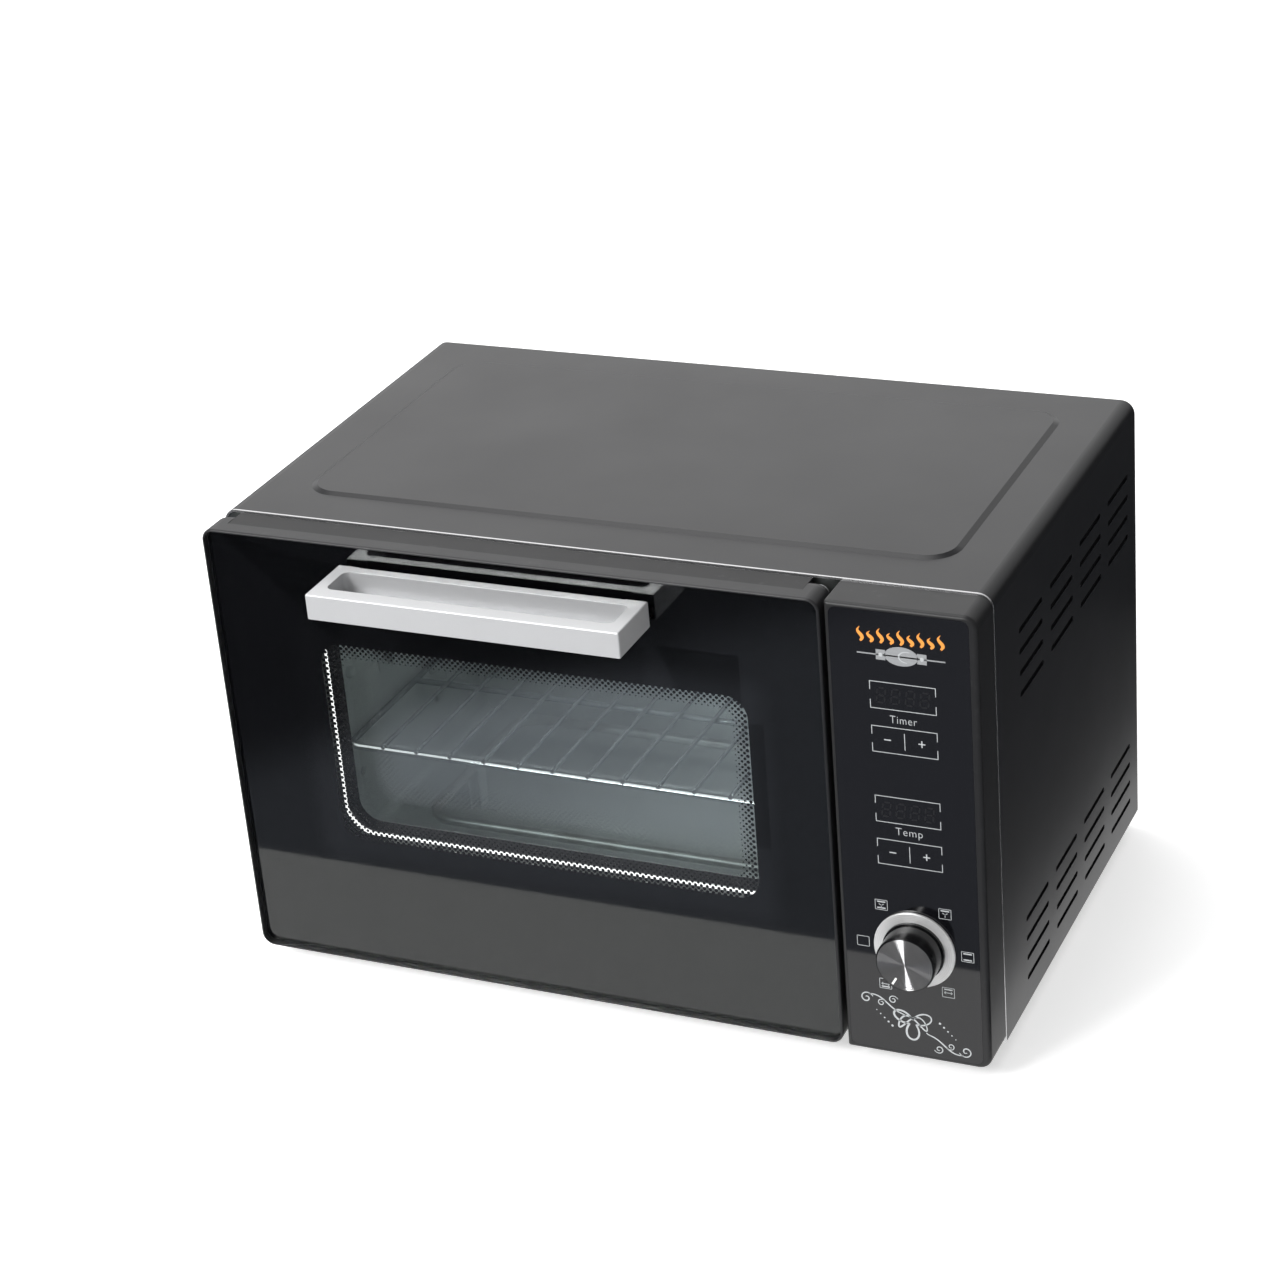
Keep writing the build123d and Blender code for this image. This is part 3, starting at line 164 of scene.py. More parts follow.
class TreeBook:
    """Adds nodes to one node tree."""

    def __init__(self, tree: bpy.types.NodeTree) -> None:
        """Takes the tree that the nodes go into."""
        self.tree = tree

    def add(
        self,
        kind: str,
        settings: Mapping[str, Any] | None = None,
        sockets: Mapping[Union[int, str], Any] | None = None,
    ) -> bpy.types.Node:
        """Adds a node.

        Args:
            kind: the node's type name.
            settings: its own properties; "stops" gives a colour ramp its (place, colour) pairs.
            sockets: values or links for its inputs, by name or index.

        Returns:
            The new node.
        """
        node = self.tree.nodes.new(kind)
        for name, value in (settings or {}).items():
            if name == "stops":
                elements = node.color_ramp.elements
                while len(elements) < len(value):
                    elements.new(0.5)
                for element, (place, colour) in zip(elements, value):
                    element.position = place
                    element.color = (*colour, 1.0)
            else:
                setattr(node, name, value)
        for name, value in (sockets or {}).items():
            if isinstance(value, Sig):
                self.tree.links.new(value.socket, node.inputs[name])
            elif isinstance(value, bpy.types.NodeSocket):
                self.tree.links.new(value, node.inputs[name])
            else:
                node.inputs[name].default_value = value
        return node

    def sig(self, node: bpy.types.Node, socket: Union[int, str] = 0) -> Sig:
        """Wraps one of a node's outputs."""
        return Sig(self, node.outputs[socket])

    def math(self, operation: str, *values: Number, clamp: bool = False) -> Sig:
        """Adds a Math node on the values."""
        node = self.add(
            "ShaderNodeMath",
            {"operation": operation, "use_clamp": clamp},
            dict(enumerate(values)),
        )
        return self.sig(node)

    def split(self, vector: Sig) -> tuple[Sig, Sig, Sig]:
        """The three numbers of a vector."""
        node = self.add("ShaderNodeSeparateXYZ", None, {0: vector})
        return self.sig(node, 0), self.sig(node, 1), self.sig(node, 2)

    def join(self, x: Number, y: Number, z: Number) -> Sig:
        """A vector from three numbers."""
        return self.sig(self.add("ShaderNodeCombineXYZ", None, {0: x, 1: y, 2: z}))

    def step(self, value: Sig, start: float, end: float) -> Sig:
        """A smooth rise from 0 to 1 as the value goes from start to end."""
        sockets = {"Value": value, "From Min": start, "From Max": end}
        return self.sig(self.add("ShaderNodeMapRange", {"interpolation_type": "SMOOTHSTEP"}, sockets))

    def tint(self, amount: Number, low: Union[Colour, Sig], high: Union[Colour, Sig]) -> Sig:
        """A colour between two colours."""
        ends = ((*end, 1.0) if isinstance(end, tuple) else end for end in (low, high))
        sockets = dict(zip((0, 6, 7), (amount, *ends)))  # the mix's share and its two colours
        return self.sig(self.add("ShaderNodeMix", {"data_type": "RGBA"}, sockets), 2)

    def round_box(self, u: Number, v: Number, half_u: Number, half_v: Number, corner: Number) -> Sig:
        """Signed distance from a rounded rectangle's outline, negative inside.

        Args:
            u: first coordinate, from the rectangle's middle.
            v: second coordinate.
            half_u: half of its width.
            half_v: half of its height.
            corner: its corner radius.

        Returns:
            The distance in the same unit.
        """
        a = self.math("ABSOLUTE", u) - half_u + corner
        b = self.math("ABSOLUTE", v) - half_v + corner
        past_a, past_b = a.math("MAXIMUM", 0.0), b.math("MAXIMUM", 0.0)
        outside = (past_a * past_a + past_b * past_b).math("SQRT")
        return outside + a.math("MAXIMUM", b).math("MINIMUM", 0.0) - corner


class Shades(TreeBook):
    """The node tree of one finish."""

    def __init__(self, name: str) -> None:
        """Makes an empty material of that name."""
        self.material = bpy.data.materials.new(name)
        self.material.use_nodes = True
        super().__init__(self.material.node_tree)
        self.tree.nodes.clear()

    def place(self) -> Sig:
        """The point on the piece, in metres of the stand's frame."""
        return self.sig(self.add("ShaderNodeTexCoord"), "Object")

    def noise(self, scale: float, detail: float = 3.0, at: Sig | None = None, rough: float = 0.55) -> Sig:
        """Fractal noise between 0 and 1; scale is cells per metre."""
        node = self.add(
            "ShaderNodeTexNoise",
            None,
            {"Vector": at or self.place(), "Scale": scale, "Detail": detail, "Roughness": rough},
        )
        return self.sig(node, 0)

    def grain(self, scale: float, stretch: Colour, detail: float = 4.0) -> Sig:
        """Noise drawn out along an axis, for brushed or rolled metal."""
        stretched = self.sig(
            self.add("ShaderNodeVectorMath", {"operation": "MULTIPLY"}, {0: self.place(), 1: stretch})
        )
        return self.noise(scale, detail, stretched)

    def cells(self, scale: float, feature: str = "F1") -> Sig:
        """Distance to the nearest of scattered points; scale is cells per metre."""
        node = self.add(
            "ShaderNodeTexVoronoi", {"feature": feature}, {"Vector": self.place(), "Scale": scale}
        )
        return self.sig(node, "Distance")

    def span(self, value: Sig, low: float, high: float) -> Sig:
        """Moves a 0 to 1 value to the range from low to high."""
        return value * (high - low) + low

    def bump(self, height: Sig, depth_mm: float, strength: float = 1.0, under: Sig | None = None) -> Sig:
        """A normal tilted by a height; depth_mm is the height of 1."""
        sockets: dict[Union[int, str], Any] = {
            "Height": height, "Distance": depth_mm * MM, "Strength": strength
        }
        if under is not None:
            sockets["Normal"] = under
        return self.sig(self.add("ShaderNodeBump", None, sockets))

    def schlick(self, straight: float) -> Sig:
        """Reflectance that grows towards grazing angles, from its value straight on."""
        facing = self.sig(self.add("ShaderNodeLayerWeight", None, {"Blend": 0.5}), "Facing")
        return facing ** 5.0 * (1.0 - straight) + straight

    def surface(self, **sockets: Any) -> bpy.types.NodeSocket:
        """Adds a Principled shader; a socket's name has _ for a space."""
        values = {
            name.replace("_", " "): (*v, 1.0) if isinstance(v, tuple) and len(v) == 3 else v
            for name, v in sockets.items()
        }
        return self.add("ShaderNodeBsdfPrincipled", None, values).outputs[0]

    def done(self, shader: bpy.types.NodeSocket) -> bpy.types.Material:
        """Links the shader to the output and returns the material."""
        self.add("ShaderNodeOutputMaterial", None, {"Surface": shader})
        return self.material


# ---------------------------------------------------------------- finishes


@dataclass(frozen=True)
class Finish:
    """A named finish; each kind says how it looks."""

    name: str

    def build(self) -> bpy.types.Material:
        """Makes the material."""
        s = Shades(self.name)
        return s.done(self.look(s))

    def look(self, s: Shades) -> bpy.types.NodeSocket:
        """Adds the finish's nodes and returns its shader."""
        raise NotImplementedError


@dataclass(frozen=True)
class CoatedSteel(Finish):
    """Satin powder coat on sheet steel, with fine orange peel and a bare folded front edge."""

    tone: Colour = (0.012, 0.012, 0.0135)
    rough: float = 0.34
    peel_mm: float = 1.1
    peel_depth_mm: float = 0.006
    bare_before: float = -10.0  # the steel is bare in front of this y

    def look(self, s: Shades) -> bpy.types.NodeSocket:
        """Adds the finish's nodes and returns its shader."""
        _, y, _ = s.split(s.place())
        peel = s.noise(1000 / self.peel_mm, 2.0)
        patches = s.noise(14.0, 4.0)
        fine = s.noise(5200.0, 2.0)
        bare = 1.0 - y.above(self.bare_before)
        paint = s.tint(s.span(patches, 0.2, 0.8), scaled(self.tone, 0.82), scaled(self.tone, 1.2))
        dusted = s.tint(s.step(fine, 0.68, 0.86) * 0.25, paint, (0.12, 0.12, 0.12))
        return s.surface(
            Base_Color=s.tint(bare, dusted, (0.72, 0.72, 0.73)),
            Metallic=bare * 0.9,
            Roughness=s.span(patches, self.rough - 0.05, self.rough + 0.06) - bare * 0.12,
            IOR=1.5,
            Normal=s.bump(peel * 0.8 + fine * 0.2, self.peel_depth_mm),
        )


@dataclass(frozen=True)
class RolledSteel(Finish):
    """Bare sheet or plated steel with rolling lines, small scuffs and a faint tint."""

    tone: Colour = (0.56, 0.58, 0.57)
    shade: Colour = (0.42, 0.44, 0.43)
    rough: float = 0.34
    stretch: Colour = (1.0, 1.0, 14.0)
    metallic: float = 1.0
    spangle: float = 0.0

    def look(self, s: Shades) -> bpy.types.NodeSocket:
        """Adds the finish's nodes and returns its shader."""
        lines = s.grain(900.0, tuple(1.0 / v for v in self.stretch))
        patches = s.noise(22.0, 5.0)
        scuffs = s.step(s.noise(340.0, 6.0, rough=0.75), 0.60, 0.74)
        flakes = s.cells(150.0) * self.spangle
        colour = s.tint((patches * 0.7 + flakes).clamped(), self.tone, self.shade)
        return s.surface(
            Base_Color=s.tint(scuffs * 0.3, colour, scaled(self.shade, 0.7)),
            Metallic=self.metallic,
            Roughness=s.span(lines, self.rough - 0.07, self.rough + 0.07) + patches * 0.08 - 0.04,
            Normal=s.bump(lines * 0.7 + scuffs * 0.3, 0.004),
        )


@dataclass(frozen=True)
class PlatedWire(Finish):
    """Bright plated wire with slight ripples and smudges; behind a given depth it is painted darker and
    less metallic as painted shade, and a painted highlight glows along the side that faces lit_side.
    """

    tone: Colour = (0.86, 0.86, 0.85)
    rough: float = 0.13
    shaded_behind: float = 10.0  # the y behind which the wire is painted darker, as painted shade
    shade_tone: Colour = (0.34, 0.36, 0.365)
    # glint: strength of a painted highlight that glows along the wire's lit side
    glint: float = 0.0
    lit_side: Colour = (0.19, -0.57, 0.80)  # where the painted highlight lies on a round wire
    lit_from: float = 0.88

    def look(self, s: Shades) -> bpy.types.NodeSocket:
        """Adds the finish's nodes and returns its shader."""
        smudge = s.noise(160.0, 4.0)
        ripple = s.noise(700.0, 2.0)
        _, y, _ = s.split(s.place())
        # behind the given depth the wire is painted darker and less metallic: painted shade
        wear_and_shade = y.above(self.shaded_behind)
        bright = s.tint(smudge, self.tone, scaled(self.tone, 0.74))
        normal = s.sig(s.add("ShaderNodeNewGeometry"), "Normal")
        facing = s.add("ShaderNodeVectorMath", {"operation": "DOT_PRODUCT"}, {0: normal, 1: self.lit_side})
        lit = s.sig(facing, 1)
        line = s.step(lit, self.lit_from, self.lit_from + 0.07) * (1.0 - wear_and_shade)
        return s.surface(
            Base_Color=s.tint(wear_and_shade, bright, self.shade_tone),
            Metallic=1.0 - wear_and_shade * 0.6,
            # painted highlight: the side facing lit_side glows white, though it is no lamp
            Emission_Color=s.tint(line, (0.0, 0.0, 0.0), (1.0, 1.0, 1.0)),
            Emission_Strength=self.glint,
            Roughness=s.span(smudge, self.rough - 0.05, self.rough + 0.14),
            Normal=s.bump(ripple, 0.02),
        )


@dataclass(frozen=True)
class HeaterSheath(Finish):
    """Oxidised sheath of a tube heater, mottled by heat and warmer in tone along its hot length."""

    tone: Colour = (0.66, 0.67, 0.66)
    burnt: Colour = (0.50, 0.49, 0.47)

    def look(self, s: Shades) -> bpy.types.NodeSocket:
        """Adds the finish's nodes and returns its shader."""
        heat = s.noise(46.0, 6.0)
        scale = s.noise(900.0, 3.0)
        return s.surface(
            Base_Color=s.tint(s.step(heat, 0.35, 0.75), self.tone, self.burnt),
            Metallic=0.8,
            Roughness=s.span(scale, 0.34, 0.58),
            Normal=s.bump(scale, 0.03),
        )


@dataclass(frozen=True)
class MouldedPlastic(Finish):
    """Dark moulded plastic with a fine spark-eroded grain and rubbed places."""

    tone: Colour = (0.020, 0.020, 0.022)
    rough: float = 0.46
    grain_mm: float = 0.35
    grain_depth_mm: float = 0.012
    level: float = 0.5

    def look(self, s: Shades) -> bpy.types.NodeSocket:
        """Adds the finish's nodes and returns its shader."""
        grain = s.cells(1000 / self.grain_mm, "SMOOTH_F1")
        patches = s.noise(30.0, 4.0)
        rub = s.step(s.noise(110.0, 5.0, rough=0.7), 0.58, 0.8)
        colour = s.tint(patches, scaled(self.tone, 0.85), scaled(self.tone, 1.18))
        return s.surface(
            Base_Color=s.tint(rub * 0.15, colour, (0.10, 0.10, 0.10)),
            Roughness=s.span(patches, self.rough - 0.05, self.rough + 0.05) - rub * 0.06,
            Specular_IOR_Level=self.level,
            Normal=s.bump(grain, self.grain_depth_mm),
        )


@dataclass(frozen=True)
class GlossSheet(Finish):
    """Gloss black sheet or back-printed glass, with faint smears and fine dust."""

    tone: Colour = (0.0035, 0.0035, 0.0045)
    rough: float = 0.035
    level: float = 0.85

    def look(self, s: Shades) -> bpy.types.NodeSocket:
        """Adds the finish's nodes and returns its shader."""
        smear = s.noise(26.0, 6.0, rough=0.7)
        dust = s.step(s.noise(2600.0, 2.0), 0.70, 0.84)
        return s.surface(
            Base_Color=s.tint(dust * 0.06, self.tone, (0.05, 0.05, 0.052)),
            Roughness=s.span(smear, self.rough, self.rough + 0.04),
            Specular_IOR_Level=self.level,
            Normal=s.bump(s.noise(9.0, 1.0), 0.02, 0.4),
        )


@dataclass(frozen=True)
class ClearPane(Finish):
    """Clear toughened glass: a tinted see-through body under a mirror that grows at grazing angles."""

    tint: Colour = (0.93, 0.96, 0.95)
    straight: float = 0.045
    rough: float = 0.02
    bare: tuple[float, float, float, float] | None = None  # x0 x1 z0 z1; a print mirrors outside it
    fade: float = 0.022

    def look(self, s: Shades) -> bpy.types.NodeSocket:
        """Adds the finish's nodes and returns its shader."""
        smear = s.noise(30.0, 5.0, rough=0.7)
        streak = s.step(smear, 0.45, 0.8)
        through = s.add(
            "ShaderNodeBsdfTransparent",
            None,
            {"Color": s.tint(streak * 0.5, self.tint, scaled(self.tint, 0.96))},
        )
        mirror = s.surface(
            Base_Color=(1.0, 1.0, 1.0),
            Metallic=1.0,
            Roughness=s.span(smear, self.rough, self.rough + 0.03),
        )
        share = s.schlick(self.straight)
        if self.bare:
            x, _, z = s.split(s.place())
            x0, x1, z0, z1 = self.bare
            for v, a, b in ((x, x0, x1), (z, z0, z1)):
                share = share * (1.0 - s.step(abs(v - (a + b) / 2) - (b - a) / 2, 0.0, self.fade))
        mix = s.add("ShaderNodeMixShader", None, {0: share, 1: through.outputs[0], 2: mirror})
        return mix.outputs[0]


@dataclass(frozen=True)
class SatinAluminium(Finish):
    """Sprayed satin aluminium: very fine flake, soft patches and edges rounded in the shading normal; faces
    turned to the back are painted near black, as painted shade.
    """

    tone: Colour = (0.555, 0.56, 0.57)
    rough: float = 0.34
    metallic: float = 0.4
    edge_mm: float = 0.5

    def look(self, s: Shades) -> bpy.types.NodeSocket:
        """Adds the finish's nodes and returns its shader."""
        flake = s.cells(5200.0)
        patches = s.noise(40.0, 4.0)
        soft = s.sig(s.add("ShaderNodeBevel", {"samples": 4}, {"Radius": self.edge_mm * MM}))
        colour = s.tint(patches, self.tone, scaled(self.tone, 0.93))
        # faces whose normal points to the back are painted near black: painted shade
        _, turned, _ = s.split(s.sig(s.add("ShaderNodeNewGeometry"), "Normal"))
        rear_shade = s.step(turned, 0.5, 0.85)
        shaded = s.tint(rear_shade, colour, (0.03, 0.03, 0.031))
        return s.surface(
            Base_Color=s.tint(flake * 0.12 * (1.0 - rear_shade), shaded, (0.9, 0.9, 0.9)),
            Metallic=self.metallic,
            Roughness=s.span(patches, self.rough - 0.04, self.rough + 0.05),
            Normal=s.bump(flake, 0.003, under=soft),
        )


@dataclass(frozen=True)
class SpunMetal(Finish):
    """Metal turned on a lathe: fine rings about an axis that runs front to back."""

    middle: tuple[float, float]  # x and z of the axis
    tone: Colour = (0.74, 0.74, 0.74)
    groove_mm: float = 0.16
    tilt: float = 0.22
    rough: float = 0.22
    metallic: float = 1.0
    steep: float = 1.0  # above 1 the grooves' flanks are straighter

    def look(self, s: Shades) -> bpy.types.NodeSocket:
        """Adds the finish's nodes and returns its shader."""
        x, _, z = s.split(s.place())
        u, v = x - self.middle[0], z - self.middle[1]
        radius = (u * u + v * v).math("SQRT") + 1e-6
        wear_and_shade = s.noise(300.0, 3.0)
        wave = (radius * (2000 * math.pi / self.groove_mm)).math("SINE")
        second = (radius * (2000 * math.pi / (self.groove_mm * 2.7))).math("SINE")
        ridge = (wave * 0.65 + second * 0.35) * self.steep
        lean = ridge.math("MINIMUM", 1.0).math("MAXIMUM", -1.0) * self.tilt
        local = s.join(u / radius * lean, 0.0, v / radius * lean)
        turned = s.sig(
            s.add(
                "ShaderNodeVectorTransform",
                {"vector_type": "VECTOR", "convert_from": "OBJECT", "convert_to": "WORLD"},
                {0: local},
            )
        )
        normal = s.sig(s.add("ShaderNodeNewGeometry"), "Normal")
        added = s.sig(s.add("ShaderNodeVectorMath", {"operation": "ADD"}, {0: normal, 1: turned}))
        unit = s.sig(s.add("ShaderNodeVectorMath", {"operation": "NORMALIZE"}, {0: added}))
        rings = (radius * (2000 * math.pi / 1.1)).math("SINE") * 0.5 + 0.5
        return s.surface(
            Base_Color=s.tint(rings * 0.35 + wear_and_shade * 0.3, self.tone, scaled(self.tone, 0.72)),
            Metallic=self.metallic,
            Roughness=s.span(wear_and_shade, self.rough - 0.04, self.rough + 0.06),
            Normal=unit,
        )


@dataclass(frozen=True)
class Ink(Finish):
    """Screen-printed ink with a slightly speckled cover; with glow above 0 the print also shines by itself,
    a painted light.
    """

    tone: Colour = (0.50, 0.52, 0.53)
    rough: float = 0.42
    metallic: float = 0.25
    # glow: emission in the ink's own colour, painted light on the print
    glow: float = 0.0

    def look(self, s: Shades) -> bpy.types.NodeSocket:
        """Adds the finish's nodes and returns its shader."""
        speck = s.noise(4200.0, 3.0)
        cover = s.noise(240.0, 3.0)
        colour = s.tint(cover * 0.6, self.tone, scaled(self.tone, 0.8))
        return s.surface(
            Base_Color=s.tint(s.step(speck, 0.6, 0.8) * 0.4, colour, scaled(self.tone, 0.6)),
            Metallic=self.metallic,
            Roughness=s.span(speck, self.rough - 0.08, self.rough + 0.08),
            Emission_Color=self.tone,
            Emission_Strength=self.glow,
            Normal=s.bump(speck, 0.004),
        )


@dataclass(frozen=True)
class Ceramic(Finish):
    """Unglazed white steatite with fine pores."""

    tone: Colour = (0.72, 0.69, 0.62)

    def look(self, s: Shades) -> bpy.types.NodeSocket:
        """Adds the finish's nodes and returns its shader."""
        pores = s.step(s.cells(2400.0), 0.05, 0.35)
        clay = s.noise(120.0, 4.0)
        return s.surface(
            Base_Color=s.tint(clay, self.tone, scaled(self.tone, 0.84)),
            Roughness=s.span(clay, 0.5, 0.7),
            Normal=s.bump(pores, 0.05),
        )


@dataclass(frozen=True)
class FloorPaint(Finish):
    """Matte white studio floor, very slightly uneven and lit a little from below."""

    tone: Colour = (0.9, 0.9, 0.9)
    glow: float = 0.5

    def look(self, s: Shades) -> bpy.types.NodeSocket:
        """Adds the finish's nodes and returns its shader."""
        wash = s.noise(3.0, 3.0)
        return s.surface(
            Base_Color=s.tint(wash, self.tone, scaled(self.tone, 0.98)),
            Roughness=0.8,
            Emission_Color=(1.0, 1.0, 1.0),
            Emission_Strength=self.glow,
        )


@dataclass(frozen=True)
class CircuitBoard(Finish):
    """Green solder mask over copper tracks."""

    mask: Colour = (0.012, 0.11, 0.045)
    track: Colour = (0.03, 0.19, 0.08)

    def look(self, s: Shades) -> bpy.types.NodeSocket:
        """Adds the finish's nodes and returns its shader."""
        x, y, z = s.split(s.place())
        lanes = ((x + z) * 2600.0 + s.noise(60.0, 1.0) * 4.0).math("SINE")
        pads = s.cells(170.0)
        copper = (s.step(lanes, 0.55, 0.7) + (1.0 - s.step(pads, 0.12, 0.16))).clamped()
        weave = (y * 5200.0).math("SINE") * 0.5 + 0.5
        return s.surface(
            Base_Color=s.tint(copper, self.mask, self.track),
            Roughness=s.span(weave, 0.28, 0.36),
            Normal=s.bump(copper, 0.035),
        )


class Tone(Enum):
    """Prints and trims that differ only in colour."""

    SILVER = (0.50, 0.52, 0.53)
    ORANGE = (0.75, 0.27, 0.035)
    DIM = (0.012, 0.012, 0.014)
    BLACK = (0.002, 0.002, 0.0025)


class Palette:
    """Makes each finish once."""

    def __init__(self) -> None:
        """Starts with no material made."""
        self.made: dict[str, bpy.types.Material] = {}

    def material(self, finish: Finish) -> bpy.types.Material:
        """The finish's material, made at its first use."""
        if finish.name not in self.made:
            self.made[finish.name] = finish.build()
        return self.made[finish.name]


# ---------------------------------------------------------------- mesh tools


class Body(Enum):
    """The CAD bodies that pieces ride on."""

    ROOT = "root"
    DOOR = "door"
    RACK = "rack"


@dataclass
class Shop:
    """What every sub-assembly needs: the frame, the palette and the casing's corner."""

    frame: dict[str, Any]
    palette: Palette
    corner: Vector  # lower left front corner of the casing

    def at(self, x: float, z: float) -> Point:
        """A place on an upright face, from millimetres off the casing's corner to metres."""
        return self.corner.x + x * MM, self.corner.z + z * MM

    def dress(self, finish: Finish, *names: str) -> None:
        """Puts a finish on CAD nodes, by their names."""
        for name in names:
            for slot in self.frame["nodes"][name].material_slots:
                slot.material = self.palette.material(finish)
            log.info("%s finished in %s", name, finish.name)

    def finish_piece(
        self, mesh: bpy.types.Mesh, name: str, finish: Finish, body: Body, slot: str
    ) -> bpy.types.Object:
        """Makes an object of a mesh that already lies in place.

        Args:
            mesh: the piece's mesh.
            name: the piece's name.
            finish: its finish.
            body: the body that it moves with.
            slot: the name of a material slot in the record; not used.

        Returns:
            The new object.
        """
        mesh.name = name
        mesh.materials.clear()
        mesh.materials.append(self.palette.material(finish))
        piece = linked(name, mesh)
        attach(piece, body.value)
        log.info("%s: %d faces on %s", name, len(mesh.polygons), body.value)
        return piece


class Relief:
    """Thin closed shapes that stand on an upright face, gathered in one mesh."""

    def __init__(self, y_face: float, thick_mm: float = 0.05) -> None:
        """Takes the face's y and how far the print stands out towards the front."""
        self.bm = bmesh.new()
        self.back = y_face
        self.front = y_face - thick_mm * MM

    def ladder(self, left: Sequence[Point], right: Sequence[Point], closed: bool = False) -> None:
        """A solid strip between two lines with the same number of points.

        Args:
            left: points of one side, as x and z in metres.
            right: points of the other side.
            closed: whether the strip's end joins its start.
        """
        rows = [
            [
                self.bm.verts.new((p[0], y, p[1]))
                for p, y in ((a, self.front), (b, self.front), (b, self.back), (a, self.back))
            ]
            for a, b in zip(left, right)
        ]
        pairs = list(zip(rows, rows[1:])) + ([(rows[-1], rows[0])] if closed else [])
        for one, two in pairs:
            for i in range(4):
                self.bm.faces.new((one[i], one[(i + 1) % 4], two[(i + 1) % 4], two[i]))
        if not closed:
            self.bm.faces.new(rows[0])
            self.bm.faces.new(rows[-1][::-1])

    def stroke(
        self, points: Sequence[Point], width: Union[float, Sequence[float]], closed: bool = False
    ) -> None:
        """A mitred line of a given width, or of a width for each point, in metres."""
        n = len(points)
        widths = [width] * n if isinstance(width, (int, float)) else list(width)
        left, right = [], []
        for i, p in enumerate(points):
            before = points[i - 1] if i or closed else None
            after = points[(i + 1) % n] if i < n - 1 or closed else None
            runs = [
                Vector((b[0] - a[0], b[1] - a[1])).normalized()
                for a, b in ((before, p), (p, after))
                if a is not None and b is not None
            ]
            along = sum(runs, Vector((0.0, 0.0))).normalized()
            across = Vector((-along.y, along.x))
            side = Vector((-runs[0].y, runs[0].x))
            reach = widths[i] / 2 / max(across.dot(side), 0.5)
            left.append((p[0] + across.x * reach, p[1] + across.y * reach))
            right.append((p[0] - across.x * reach, p[1] - across.y * reach))
        self.ladder(left, right, closed)

    def disc(self, middle: Point, radius: float, squash: float = 1.0, sides: int = 20) -> None:
        """A filled ellipse; squash is its height over its width."""
        turn = [2 * math.pi * i / sides for i in range(sides)]
        rim = [(middle[0] + radius * math.cos(t), middle[1] + radius * squash * math.sin(t)) for t in turn]
        front = [self.bm.verts.new((x, self.front, z)) for x, z in rim]
        back = [self.bm.verts.new((x, self.back, z)) for x, z in rim]
        self.bm.faces.new(front)
        self.bm.faces.new(back[::-1])
        for i in range(sides):
            j = (i + 1) % sides
            self.bm.faces.new((front[i], back[i], back[j], front[j]))

    def mesh(self) -> bpy.types.Mesh:
        """The gathered mesh, its faces turned outwards."""
        bmesh.ops.recalc_face_normals(self.bm, faces=self.bm.faces)
        mesh = bpy.data.meshes.new("relief")
        self.bm.to_mesh(mesh)
        self.bm.free()
        return mesh


def rounded(x0: float, x1: float, z0: float, z1: float, r: float, steps: int = 10) -> list[Point]:
    """The outline of a rounded rectangle.

    Args:
        x0: left side.
        x1: right side.
        z0: lower side.
        z1: upper side.
        r: corner radius.
        steps: points in each corner.

    Returns:
        The outline's points, anticlockwise from the lower right corner.
    """
    out = []
    corners = ((x1 - r, z0 + r), (x1 - r, z1 - r), (x0 + r, z1 - r), (x0 + r, z0 + r))
    for (cx, cz), start in zip(corners, (-90, 0, 90, 180)):
        for i in range(steps + 1):
            t = math.radians(start + 90 * i / steps)
            out.append((cx + r * math.cos(t), cz + r * math.sin(t)))
    return out


def word_mesh(
    text: str, x0: float, x1: float, z0: float, height: float, y: float, thick: float
) -> bpy.types.Mesh:
    """Plain lettering on an upright face.

    Args:
        text: the word.
        x0: its left end.
        x1: its right end.
        z0: its base line.
        height: height of its first capital.
        y: y of the face that it is printed on.
        thick: how far it stands out.

    Returns:
        Its mesh, in place.
    """
    curve = bpy.data.curves.new("word", "FONT")
    curve.body = text
    curve.extrude = 0.01
    curve.resolution_u = 4
    curve.offset = -0.011
    curve.space_character = 1.12
    mesh = evaluated(linked("word", curve))
    xs = [v.co.x for v in mesh.vertices]
    ys = [v.co.y for v in mesh.vertices]
    wide, tall = (x1 - x0) / (max(xs) - min(xs)), height / (max(ys) - max(0.0, min(ys)))
    for v in mesh.vertices:
        lift = 0.0 if v.co.z < 0 else thick
        v.co = Vector((x0 + (v.co.x - min(xs)) * wide, y - lift, z0 + v.co.y * tall))
    bm = bmesh.new()
    bm.from_mesh(mesh)
    bmesh.ops.remove_doubles(bm, verts=bm.verts, dist=1e-7)
    bmesh.ops.recalc_face_normals(bm, faces=bm.faces)
    bm.to_mesh(mesh)
    bm.free()
    return mesh


